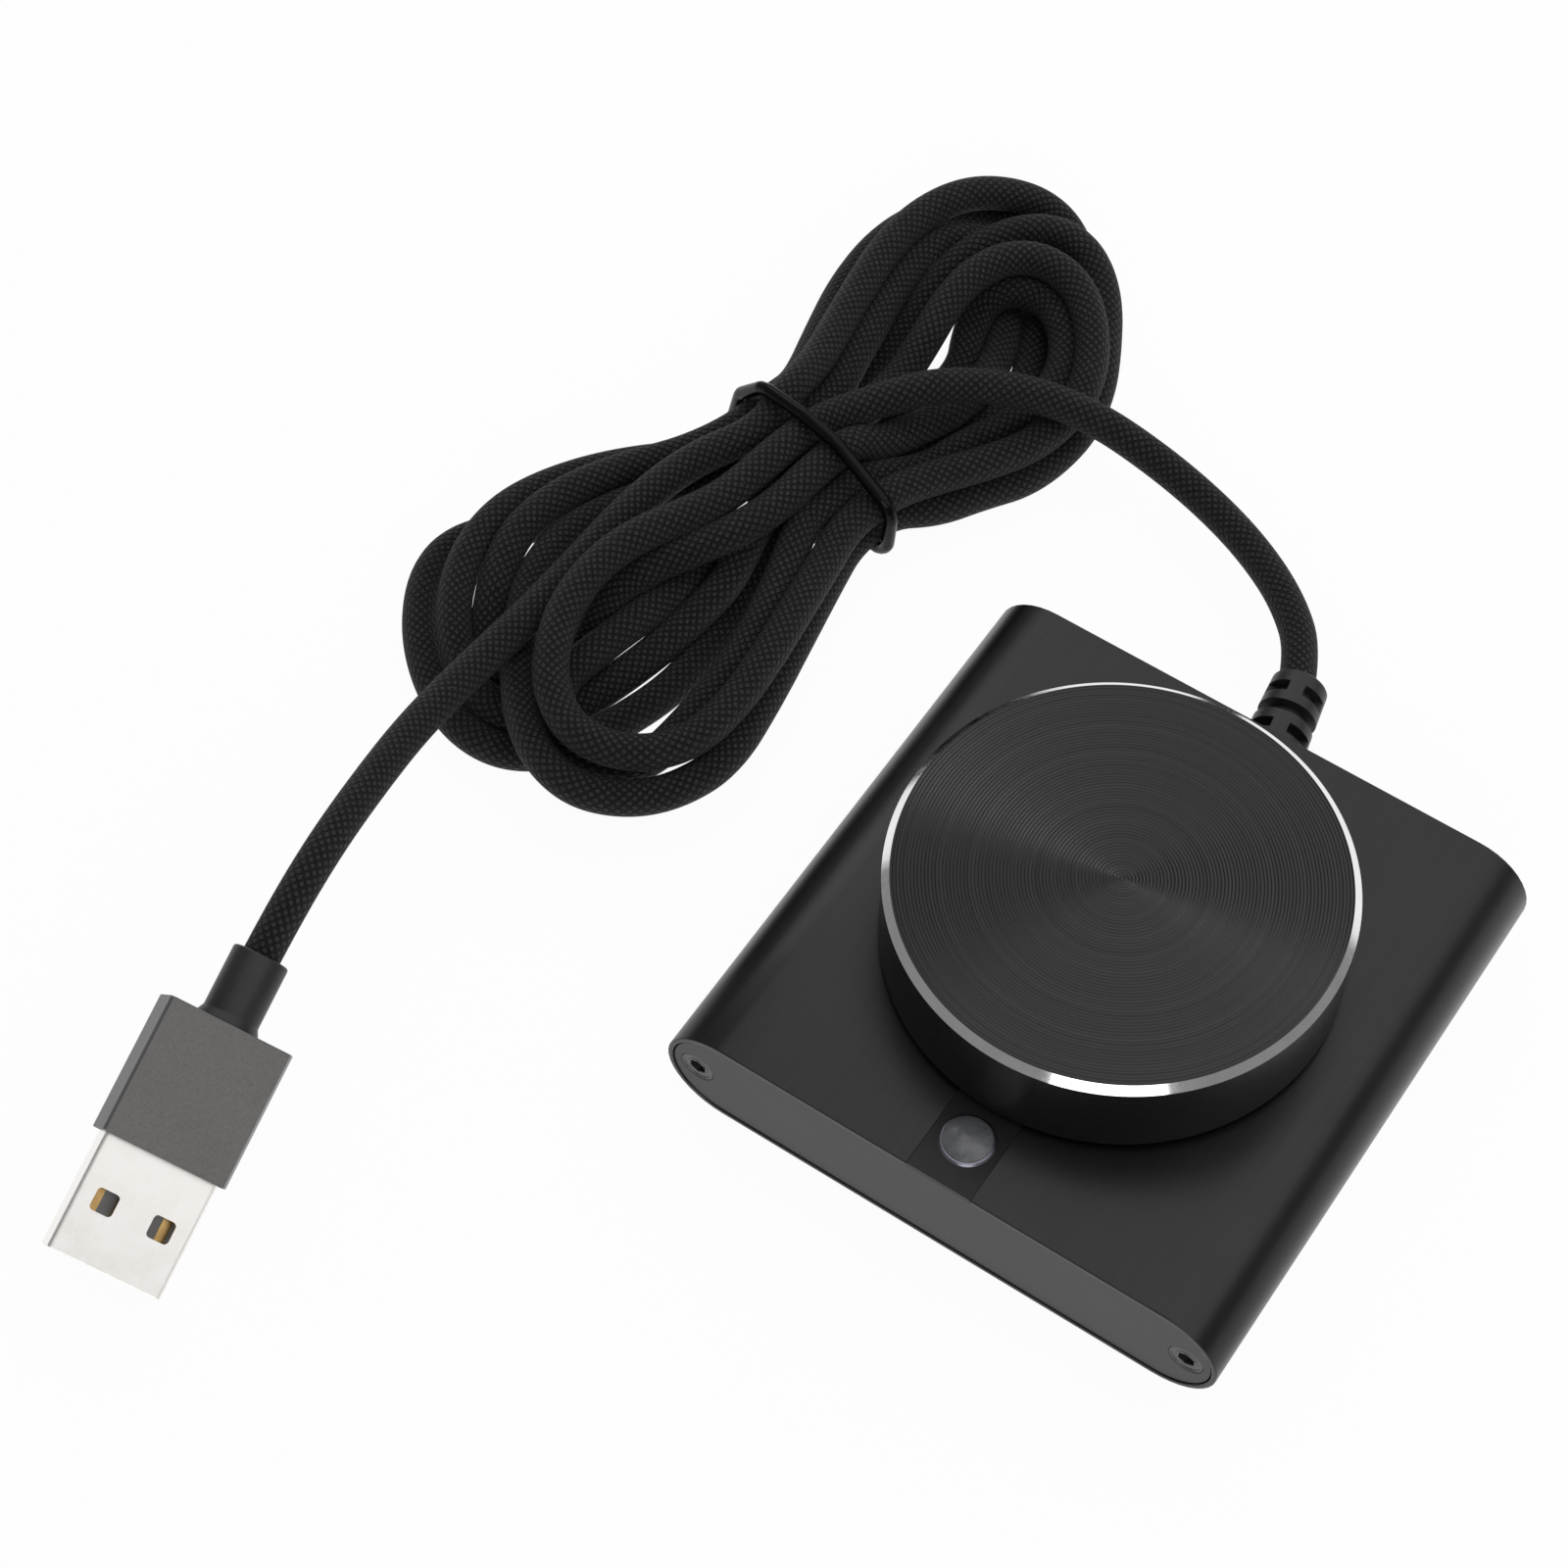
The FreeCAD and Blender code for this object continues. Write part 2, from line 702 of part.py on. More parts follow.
def pin_places():
    """Where the encoder's five pins stand: three for turning, two for the switch."""
    front = S.KnobAlong - S.PinReach
    back = S.KnobAlong + S.PinReach
    turning = [(step * S.PinPitch, front) for step in (-1, 0, 1)]
    switch = [(side * S.PinPitch, back) for side in (-1, 1)]
    return turning + switch


def make_controller_chip():
    """The controller: a flat case with a row of leads down each side."""
    across = S.ChipSide - BOARD_HALF
    along = BOARD_FRONT + S.ChipSet
    case = slab(across, along, BOARD_TOP + S.FitGap, S.ChipWidth, S.ChipLength, S.ChipHeight)
    span = S.ChipWidth + 2 * S.LeadPitch
    first = (CHIP_LEADS - 1) / 2
    leads = [
        slab(across, along + (step - first) * S.LeadPitch, BOARD_TOP, span, S.LeadPitch / 3,
             S.ChipHeight / 2)
        for step in range(CHIP_LEADS)
    ]
    node(fuse(case, *leads), "controller_chip")


def make_board_parts():
    """Small resistors, capacitors and the crystal, as one group."""
    parts = []
    for side, inset, along, length, width, height in SMALL_PARTS:
        across = side * (BOARD_HALF - inset)
        edge = BOARD_FRONT if along > 0 else BOARD_REAR
        parts.append(slab(across, edge + along, BOARD_TOP, length, width, height))
    node(fuse(*parts), "board_parts")


def make_status_led():
    """The light under the lens."""
    led = slab(0.0, LENS_ALONG, BOARD_TOP, S.LedLength, S.LedWidth, S.LedHeight)
    node(led, "status_led")


def make_wiring():
    """The header on the board, the plug in it, the four wires and the end of the cord."""
    along = S.BodyDepth / 2 - S.HeaderSet
    outer = slab(0.0, along, BOARD_TOP, S.HeaderLength, S.HeaderWidth, S.HeaderHeight)
    room_length = S.HeaderLength - 2 * S.HeaderWall
    room_width = S.HeaderWidth - 2 * S.HeaderWall
    room = slab(0.0, along, BOARD_TOP + S.HeaderWall, room_length, room_width, S.HeaderHeight)
    node(cut(outer, room), "wire_header")
    foot = slab(0.0, along, BOARD_TOP + S.HeaderWall + S.FitGap, room_length - 2 * S.FitGap,
                room_width - 2 * S.FitGap, S.HeaderHeight)
    cap_low = BOARD_TOP + S.HeaderHeight + S.FitGap
    cap = slab(0.0, along, cap_low, S.HeaderLength, S.HeaderWidth, 2 * S.WireRadius)
    node(fuse(foot, cap), "wire_plug")
    stub_start = S.BodyDepth / 2 - PLATE_SEAT - S.FlangeThick
    stub = rod(S.BootAcross, stub_start, CASE_MID, S.CordRadius, S.StubLength, "front")
    node(stub, "cord_stub")
    start = (stub_start - S.StubLength - S.WireEnd).number
    end = (along + S.HeaderWidth / 2 + S.WireEnd).number
    level = (cap_low + S.WireRadius).number
    wires = []
    for index in range(4):
        turn = math.radians(45 + 90 * index)
        spread = S.WireSpread.number
        across = S.BootAcross.number + spread * math.cos(turn)
        near = Vector(across, start, CASE_MID.number + spread * math.sin(turn))
        slot = WIRE_PLACES[index]
        far = Vector((1.5 - slot) * S.WirePitch.number, end, level)
        wires.append(Part.makeCylinder(S.WireRadius.number, (far - near).Length, near, far - near))
    thing = DOC.addObject("Part::Feature", "Wires")
    thing.Shape = Part.makeCompound(wires)
    thing.Placement = Placement()
    node(thing, "inner_leads")


def make_encoder():
    """The encoder's fixed parts: base, bushing, bracket, pins and the switch's dome."""
    y = S.KnobAlong
    side = S.EncoderSide
    base = slab(0.0, y, BOARD_TOP, side, side, BASE_TOP - BOARD_TOP)
    cavity = rod(0.0, y, CAVITY_FLOOR, S.RotorCavity, BASE_TOP - CAVITY_FLOOR)
    well = rod(0.0, y, DOME_SEAT, S.DomePocket, S.PocketDepth)
    slits = [pin_shape(x, along, S.FitGap) for x, along in pin_places()]
    node(cut(base, cavity, well, *slits), "encoder_base")

    plate = slab(0.0, y, BASE_TOP, side, side, S.BushPlate)
    barrel = rod(0.0, y, BASE_TOP, S.BushRadius, BUSH_TOP - BASE_TOP)
    bore = rod(0.0, y, BASE_TOP, S.ShaftRadius + S.RunGap, BUSH_TOP - BASE_TOP)
    room = rod(0.0, y, BASE_TOP, S.CollarRadius + 3 * S.RunGap, COLLAR_TOP + 2 * S.RunGap - BASE_TOP)
    node(cut(fuse(plate, barrel), bore, room), "encoder_bushing")

    half = side / 2 + S.FitGap
    wide = 2 * (half + S.BracketThick)
    sheet = slab(0.0, y, BRACKET_LOW, wide, side, S.BracketThick)
    hole = rod(0.0, y, BRACKET_LOW, S.BushRadius + S.FitGap, S.BracketThick)
    straps = []
    for hand in (-1, 1):
        middle = hand * (half + S.BracketThick / 2)
        strap_low = CEILING - S.BracketDrop
        straps.append(slab(middle, y, strap_low, S.BracketThick, S.BracketWidth, S.BracketDrop))
        straps.append(slab(middle, y, PIN_LOW, S.BracketThick, S.LegWidth, CEILING - PIN_LOW))
    node(fuse(cut(sheet, hole), *straps), "encoder_bracket")

    node(fuse(*[pin_shape(x, along, 0.0) for x, along in pin_places()]), "encoder_terminals")

    dome = cone(0.0, y, DOME_SEAT, S.DomeRadius, S.DomeRadius / 3, S.DomeHeight)
    under = cone(0.0, y, DOME_SEAT - S.DomeSheet, S.DomeRadius, S.DomeRadius / 3, S.DomeHeight)
    node(cut(dome, under), "push_dome")


def pin_shape(x, along, gap):
    """One bent pin, from inside the base out and down through the board."""
    out = 1 if as_size(along).number > S.KnobAlong.number else -1
    reach = S.PinReach + S.PinThick / 2 - (S.RotorCavity + 2 * S.PinThick)
    level = BOARD_TOP + S.BaseFloor
    middle = along - out * (reach / 2 - S.PinThick / 2)
    width = S.PinWidth + 2 * gap
    thick = S.PinThick + 2 * gap
    flat = slab(x, middle, level - gap, width, reach + 2 * gap, thick)
    drop = slab(x, along, PIN_LOW, width, thick, level + S.PinThick - PIN_LOW)
    return fuse(flat, drop)


def make_moving_encoder():
    """The rotor with its detent spring, the switch's plunger and the shaft."""
    y = S.KnobAlong
    rotor = rod(0.0, y, ROTOR_LOW, S.RotorRadius, ROTOR_TOP - ROTOR_LOW)
    under = rod(0.0, y, ROTOR_LOW, S.RotorSkirt, ROTOR_TOP - S.RotorWeb - ROTOR_LOW)
    drive = flat_rod(0.0, y, ROTOR_LOW, S.DriveRadius + S.RunGap, S.DriveFlat + S.RunGap,
                     ROTOR_TOP - ROTOR_LOW)
    node(cut(rotor, under, drive), "encoder_rotor")
    spring = ring(0.0, y, ROTOR_TOP, S.RotorRadius, S.SpringInner, S.SpringThick)
    node(spring, "detent_spring")

    disc = rod(0.0, y, DISC_LOW, S.PlungerRadius, S.PlungerThick)
    pip = rod(0.0, y, PIP_LOW, S.PipRadius, S.PipHeight)
    node(fuse(disc, pip), "switch_plunger")

    foot = SHAFT_LOW + S.RunGap
    collar_low = COLLAR_TOP - S.CollarThick
    tail = flat_rod(0.0, y, foot, S.DriveRadius, S.DriveFlat, collar_low - foot)
    collar = rod(0.0, y, collar_low, S.CollarRadius, S.CollarThick)
    neck = rod(0.0, y, COLLAR_TOP, S.ShaftRadius, HUB_LOW - COLLAR_TOP)
    top = flat_rod(0.0, y, HUB_LOW, S.ShaftRadius, S.ShaftFlat, SHAFT_TOP - HUB_LOW)
    node(fuse(tail, collar, neck, top), "encoder_shaft")


def make_shaft_nut():
    """The washer and nut that clamp the bushing to the case."""
    y = S.KnobAlong
    hole = S.BushRadius + S.FitGap
    node(ring(0.0, y, CASE_TOP, S.WasherRadius, hole, S.WasherThick), "shaft_washer")
    level = CASE_TOP + S.WasherThick
    corner = S.NutFlats / (2 * math.cos(math.radians(30)))
    nut = cut(prism(0.0, y, level, corner, S.NutThick), rod(0.0, y, level, hole, S.NutThick))
    node(nut, "shaft_nut")


def make_knob():
    """The turned cap, the moulded core in it and the spring ring on the core's hub."""
    cap = new_body("knob_cap")
    place(cap, 0.0, S.KnobAlong, KNOB_BASE)
    profile = sketch_on(cap, "XZ_Plane")
    radius = S.KnobRadius
    height = S.KnobHeight
    ceiling = height - S.KnobTop
    draw_outline(profile, [
        (CAP_BORE, 0.0),
        (radius - S.KnobEdge, 0.0),
        (radius, S.KnobEdge),
        (radius, height - S.KnobChamfer),
        (radius - S.KnobChamfer, height),
        (0.0, height),
        (0.0, ceiling),
        (CAP_BORE, ceiling),
    ])
    revolve(cap, profile)

    y = S.KnobAlong
    rim = CAP_BORE - S.ThreadGap
    low = KNOB_BASE + S.CoreRise
    blank = rod(0.0, y, low, rim, KNOB_CEILING - low)
    hollow = ring(0.0, y, low, rim - S.CoreWall, S.HubRadius, KNOB_CEILING - S.CoreWeb - low)
    under_hub = rod(0.0, y, low, S.HubRadius, HUB_LOW - low)
    bore = flat_rod(0.0, y, HUB_LOW, S.ShaftRadius + S.ThreadGap, S.ShaftFlat + S.ThreadGap,
                    SHAFT_TOP + S.ThreadGap - HUB_LOW)
    clip_low = HUB_LOW + S.ClipHeight
    groove = ring(0.0, y, clip_low, S.HubRadius, S.HubRadius - S.ClipDepth, S.ClipHeight)
    node(cut(blank, hollow, under_hub, bore, groove), "knob_core")
    inner = S.HubRadius - S.ClipDepth + S.ThreadGap
    clip = ring(0.0, y, clip_low + S.ThreadGap, inner + S.ClipThick, inner,
                S.ClipHeight - 2 * S.ThreadGap)
    node(clip, "knob_clip")


def make_strain_relief():
    """The slotted rubber boot, leaning a little to the left, with its neck and flange."""
    boot = cone(0.0, 0.0, 0.0, S.BootRadius, S.BootEndRadius, S.BootLength)
    cuts = []
    reach = 2 * S.BootRadius
    first = S.BootPitch / 2
    for step in range(4):
        low = first + step * S.BootPitch
        if step % 2 == 0:
            cuts.append(ring(0.0, 0.0, low, reach, S.BootCore, S.BootSlot))
            continue
        for quarter in range(4):
            slot = slab(0.0, 0.0, low, S.BootSlotWidth, S.BootSlotWidth, S.BootSlot)
            turn = math.radians(45 + 90 * quarter)
            shift = S.BootCore + S.BootSlotWidth / 2
            slot.Placement = Placement(Vector(), Rotation(Vector(0, 0, 1), math.degrees(turn)))
            half = S.BootSlotWidth / 2
            corner_x = math.cos(turn) * (shift - half) + math.sin(turn) * half
            corner_y = math.sin(turn) * (shift - half) - math.cos(turn) * half
            place(slot, corner_x, corner_y, low)
            cuts.append(slot)
    slotted = cut(boot, *cuts)
    lean = Rotation(Vector(0, 0, 1), S.BootLean.number)
    slotted.Placement = Placement(Vector(), lean * AXES["back"])
    place(slotted, S.BootAcross, REAR_FACE, CASE_MID)
    behind = slab(S.BootAcross, REAR_FACE - S.BootRadius, CASE_MID - S.BodyHeight / 2,
                  4 * S.BootRadius, 2 * S.BootRadius, S.BodyHeight)
    inside = REAR_FACE - S.PlateThick - S.FlangeThick
    neck = rod(S.BootAcross, inside, CASE_MID, S.NeckRadius,
               S.PlateThick + S.FlangeThick + S.BootCore / 2, "back")
    flange = rod(S.BootAcross, inside, CASE_MID, S.FlangeRadius, S.FlangeThick, "back")
    node(fuse(cut(slotted, behind), neck, flange), "strain_relief")


def unit(start, end):
    """The direction from one point to another."""
    way = end - start
    return way / way.Length


def tangent_path(name, corners):
    """Join corners with straight runs and, at each turn, the largest arc that its runs allow."""
    edges = []
    radii = []
    start = corners[0]
    for before, corner, after in zip(corners, corners[1:], corners[2:]):
        arriving = unit(before, corner)
        leaving = unit(corner, after)
        half_turn = arriving.getAngle(leaving) / 2
        reach = 0.45 * min((corner - before).Length, (after - corner).Length)
        radius = reach / math.tan(half_turn)
        radii.append(radius)
        first = corner - arriving * reach
        last = corner + leaving * reach
        inward = unit(corner, (first + last) / 2)
        centre = corner + inward * (radius / math.cos(half_turn))
        edges.append(Part.LineSegment(start, first).toShape())
        edges.append(Part.Arc(first, centre - inward * radius, last).toShape())
        start = last
    edges.append(Part.LineSegment(start, corners[-1]).toShape())
    path = Part.Wire(edges)
    runs = ", ".join(f"{radius:.1f}" for radius in radii)
    print(f"{name}: length {path.Length:.1f} mm, bend radii {runs} mm")
    return path


def make_tube(label, corners):
    """One free run of the cord, its volume compared with section times length."""
    path = tangent_path(label, corners)
    radius = S.CordRadius.number
    way = unit(corners[0], corners[1])
    section = Part.Wire([Part.Circle(corners[0], way, radius).toShape()])
    shape = path.makePipeShell([section], True, True)
    ratio = shape.Volume / (math.pi * radius ** 2 * path.Length)
    if abs(ratio - 1) > 0.01:
        raise ValueError(f"{label} has {ratio:.3f} of its volume")
    thing = DOC.addObject("Part::Feature", "Tube")
    thing.Shape = shape
    thing.Placement = Placement()
    node(thing, label)


def plug_placement():
    """Where the plug lies: on one lower edge of its mouth, rolled, nose down."""
    turn = Rotation(S.PlugYaw.number, S.PlugPitch.number, S.PlugRoll.number)
    spot = Vector(S.PlugAcross.number, S.PlugAlong.number, S.PlugUp.number)
    return Placement(spot, turn)


def make_cord():
    """The two free runs of the cord and the hank between them."""
    lean = math.radians(S.BootLean.number)
    way = Vector(-math.sin(lean), math.cos(lean), 0)
    root = Vector(S.BootAcross.number, REAR_FACE.number, CASE_MID.number)
    inside = root + way * (S.BootLength.number - CORD_SEAT)
    make_tube("cord_lead", [inside] + [Vector(*corner) for corner in LEAD_CORNERS])

    plug = plug_placement()
    bore_end = -(S.GripLength + S.SleeveLength - S.BoreDepth).number
    seat = plug.multVec(Vector(bore_end, 0, 0))
    bend = plug.multVec(Vector(bore_end - SLEEVE_RUN, 0, 0))
    make_tube("cord_tail", [Vector(*corner) for corner in TAIL_CORNERS] + [bend, seat])

    turn = math.radians(S.TieTurn.number)
    low = (2 * S.TieRadius + S.TieGap).number
    high = S.HankTop.number
    sections = [(along, middle, half, S.HankLift.number, tall)
                for along, middle, half, tall in HANK_SECTIONS]
    for shift in (-3 * S.TieRadius.number, 3 * S.TieRadius.number):
        middle = S.TieAcross.number - shift * math.tan(turn)
        sections.append((S.TieAlong.number + shift, middle, S.HankNeck.number, low, high))
    wires = [oval_wire(*section) for section in sorted(sections)]
    thing = DOC.addObject("Part::Feature", "Hank")
    thing.Shape = Part.makeLoft(wires, True, True)
    thing.Placement = Placement()
    node(thing, "cord_hank")


def make_tie():
    """The rubber loop round the hank: two straight sides joined by half rings."""
    ring_radius = (S.HankTop + S.TieGap) / 2
    reach = S.HankNeck + S.TieGap + S.TieRadius - ring_radius
    level = S.TieRadius + ring_radius
    sides = []
    for hand, start in ((1, -90), (-1, 90)):
        bend = DOC.addObject("Part::Torus", "Bend")
        bind(bend, "Radius1", ring_radius)
        bind(bend, "Radius2", S.TieRadius)
        bend.Angle3 = 180.0
        turned = Rotation(Vector(1, 0, 0), 90) * Rotation(Vector(0, 0, 1), start)
        bend.Placement = Placement(Vector(), turned)
        place(bend, hand * reach, 0.0, level)
        sides.append(bend)
    for height in (S.TieRadius, level + ring_radius):
        sides.append(rod(-reach, 0.0, height, S.TieRadius, 2 * reach, "right"))
    loop = fuse(*sides)
    loop.Placement = Placement(Vector(), Rotation(Vector(0, 0, 1), S.TieTurn.number))
    place(loop, S.TieAcross, S.TieAlong, 0.0)
    node(loop, "hank_tie")


def oval_wire(along, middle, half_width, low, high):
    """An upright oval outline across the hank, flat above and below, round at the sides."""
    radius = (high - low) / 2
    reach = half_width - radius
    rise = low + radius

    def spot(x, z):
        return Vector(middle + x, along, z)

    edges = [
        Part.LineSegment(spot(-reach, low), spot(reach, low)).toShape(),
        Part.Arc(spot(reach, low), spot(half_width, rise), spot(reach, high)).toShape(),
        Part.LineSegment(spot(reach, high), spot(-reach, high)).toShape(),
        Part.Arc(spot(-reach, high), spot(-half_width, rise), spot(-reach, low)).toShape(),
    ]
    return Part.Wire(edges)


def along_x(start, length, width, height, low):
    """A block that runs along X and is centred on Y."""
    return box(start, -as_size(width) / 2, low, length, width, height)


def make_plug():
    """The plug: sleeve, grip, shell, tongue and four contacts, laid where it rests."""
    spot = plug_placement()
    half_high = S.ShellHeight / 2
    root = S.ShellRoot
    full = S.ShellLength + root

    outer = along_x(-root, full, S.ShellWidth, S.ShellHeight, -half_high)
    sheet = S.ShellSheet
    inner = along_x(-root, full, S.ShellWidth - 2 * sheet, S.ShellHeight - 2 * sheet,
                    sheet - half_high)
    cuts = [inner]
    for across in (-S.WindowAcross, S.WindowAcross):
        start = S.ShellLength - S.WindowBack - S.WindowSide / 2
        cuts.append(box(start, across - S.WindowSide / 2, -half_high, S.WindowSide,
                        S.WindowSide, S.ShellHeight))
    shell = cut(outer, *cuts)

    tongue_low = sheet - half_high + S.FitGap
    tongue_width = S.ShellWidth - 2 * sheet - 2 * S.FitGap
    bar = along_x(-root, full - S.TongueShort, tongue_width, S.TongueThick, tongue_low)
    contact_low = tongue_low + S.TongueThick - S.ContactThick / 2
    end = S.ShellLength - S.TongueShort - S.ContactWidth
    contacts = []
    beds = []
    for step in (-1.5, -0.5, 0.5, 1.5):
        y = step * S.ContactPitch - S.ContactWidth / 2
        for group in (contacts, beds):
            group.append(box(end - S.ContactLength, y, contact_low, S.ContactLength,
                             S.ContactWidth, S.ContactThick))
    tongue = cut(bar, *beds)

    block = along_x(-S.GripLength, S.GripLength, S.GripWidth, S.GripHeight, -S.GripHeight / 2)
    edges = DOC.addObject("Part::Chamfer", "Bevel")
    edges.Base = block
    DOC.recompute()
    size = S.GripChamfer.number
    longways = [
        index + 1 for index, edge in enumerate(block.Shape.Edges)
        if abs(edge.tangentAt(edge.FirstParameter).x) > 0.5
    ]
    edges.Edges = [(index, size, size) for index in longways]
    gap = S.FitGap
    seat = along_x(-root - gap, root + 2 * gap, S.ShellWidth + 2 * gap, S.ShellHeight + 2 * gap,
                   -half_high - gap)
    grip = cut(edges, seat)

    back = -S.GripLength - S.SleeveLength
    barrel = rod(back, 0.0, 0.0, S.SleeveRadius, S.SleeveLength, "right")
    flare = cone(-S.GripLength - 2 * S.SleeveFlare, 0.0, 0.0, S.SleeveRadius,
                 S.SleeveRadius + S.SleeveFlare, 2 * S.SleeveFlare, "right")
    bore = rod(back, 0.0, 0.0, S.SleeveBore, S.BoreDepth, "right")
    sleeve = cut(fuse(barrel, flare), bore)

    pieces = (
        (shell, "plug_shell"),
        (tongue, "plug_tongue"),
        (fuse(*contacts), "plug_contacts"),
        (grip, "plug_grip"),
        (sleeve, "plug_sleeve"),
    )
    for thing, label in pieces:
        thing.Placement = spot
        node(thing, label)


def write_parts():
    """Check every object, then write each sub-part to its own file."""
    DOC.recompute()
    for thing in DOC.Objects:
        if "Invalid" in thing.State or "Error" in thing.State:
            raise ValueError(f"{thing.Label} failed: {thing.State}")
    for thing in NODES:
        if thing.Shape.isNull() or not thing.Shape.isValid() or not thing.Shape.Solids:
            raise ValueError(f"{thing.Label} has no sound shape")
    os.makedirs("parts", exist_ok=True)
    for thing in NODES:
        thing.Shape.exportStep(f"parts/{thing.Label}.step")
        bounds = thing.Shape.BoundBox
        low = f"{bounds.XMin:.2f} {bounds.YMin:.2f} {bounds.ZMin:.2f}"
        high = f"{bounds.XMax:.2f} {bounds.YMax:.2f} {bounds.ZMax:.2f}"
        print(f"{thing.Label}: {len(thing.Shape.Solids)} solid(s), {low} to {high}")


def main():
    """Build the volume knob."""
    make_housing_shell()
    make_end_plate("front_plate", -1, cord_hole=False)
    make_end_plate("rear_plate", 1, cord_hole=True)
    make_screws("front_screws", -1)
    make_screws("rear_screws", 1)
    make_feet()
    make_light_insert()
    make_light_lens()
    make_main_board()
    make_controller_chip()
    make_board_parts()
    make_status_led()
    make_wiring()
    make_encoder()
    make_moving_encoder()
    make_shaft_nut()
    make_knob()
    make_strain_relief()
    make_cord()
    make_tie()
    make_plug()
    write_parts()


main()
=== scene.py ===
"""A desk volume knob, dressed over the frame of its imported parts.

A flat oval metal case carries a large spun knob that turns and presses, and a small domed
light.  A braided lead leaves the back, is tied in a hank and ends in a plug.  Sizes in the
classes are in millimetres, with X to the right along the front of the case, Y to the back
and Z up, and the meshes are in metres in the same frame.
"""

import json
import logging
import math
from dataclasses import dataclass
from enum import Enum
from typing import Any

import bmesh
import bpy
import numpy as np
from mathutils import Matrix


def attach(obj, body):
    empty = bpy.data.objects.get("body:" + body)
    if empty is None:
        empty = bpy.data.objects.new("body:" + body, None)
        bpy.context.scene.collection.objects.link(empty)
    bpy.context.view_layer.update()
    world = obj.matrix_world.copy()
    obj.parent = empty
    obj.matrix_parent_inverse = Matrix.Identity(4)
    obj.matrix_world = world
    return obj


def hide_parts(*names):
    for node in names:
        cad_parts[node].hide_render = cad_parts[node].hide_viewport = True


LOG = logging.getLogger("volume_knob")
MM = 0.001
TURN = 2.0 * math.pi
TOUCH = 1e-6  # places closer than this, in millimetres, are the same place
WELD = 2e-6  # points of a mesh closer than this, in metres, are joined
STRAIGHT = 1.56  # a corner that opens more than twice this, in radians, stays unrounded

Colour = tuple[float, float, float]
Point = tuple[float, float, float]

UP = np.array([0.0, 0.0, 1.0])

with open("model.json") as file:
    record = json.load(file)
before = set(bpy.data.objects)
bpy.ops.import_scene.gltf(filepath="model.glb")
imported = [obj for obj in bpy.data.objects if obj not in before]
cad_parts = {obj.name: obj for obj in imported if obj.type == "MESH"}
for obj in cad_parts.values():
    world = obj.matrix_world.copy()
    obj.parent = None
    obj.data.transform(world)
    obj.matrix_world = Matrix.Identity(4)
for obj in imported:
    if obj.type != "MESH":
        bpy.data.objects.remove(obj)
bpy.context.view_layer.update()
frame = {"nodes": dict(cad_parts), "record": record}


# ---------------------------------------------------------------------------------------
# Node trees
# ---------------------------------------------------------------------------------------


class Link:
    """One output socket of a node tree, with arithmetic that adds Math nodes."""

    def __init__(self, recipe: "Recipe", socket: bpy.types.NodeSocket) -> None:
        """Keep the socket and the recipe that it belongs to."""
        self.recipe = recipe
        self.socket = socket

    def math(self, operation: str, *others: "Link | float") -> "Link":
        """Add a Math node.

        Args:
            operation: The name of the Math node's operation.
            others: The second and third operands.

        Returns:
            The node's result.
        """
        values = dict(enumerate((self, *others)))
        return self.recipe.node("ShaderNodeMath", {"operation": operation}, values)

    def __add__(self, other: "Link | float") -> "Link":
        """Return the sum."""
        return self.math("ADD", other)

    def __sub__(self, other: "Link | float") -> "Link":
        """Return the difference."""
        return self.math("SUBTRACT", other)

    def __rsub__(self, other: float) -> "Link":
        """Return a number less this value."""
        return self.recipe.node(
            "ShaderNodeMath", {"operation": "SUBTRACT"}, {0: other, 1: self}
        )

    def __mul__(self, other: "Link | float") -> "Link":
        """Return the product."""
        return self.math("MULTIPLY", other)

    __radd__ = __add__
    __rmul__ = __mul__

    def part(self, axis: int) -> "Link":
        """Return one component of a vector, 0 for X, 1 for Y and 2 for Z."""
        return self.recipe.node("ShaderNodeSeparateXYZ", {}, {0: self}, output=axis)

    def step(self, low: float, high: float) -> "Link":
        """Return 0 below low and 1 above high, with a smooth rise between."""
        settings = {"interpolation_type": "SMOOTHSTEP"}
        values = {0: self, 1: low, 2: high}
        return self.recipe.node("ShaderNodeMapRange", settings, values)


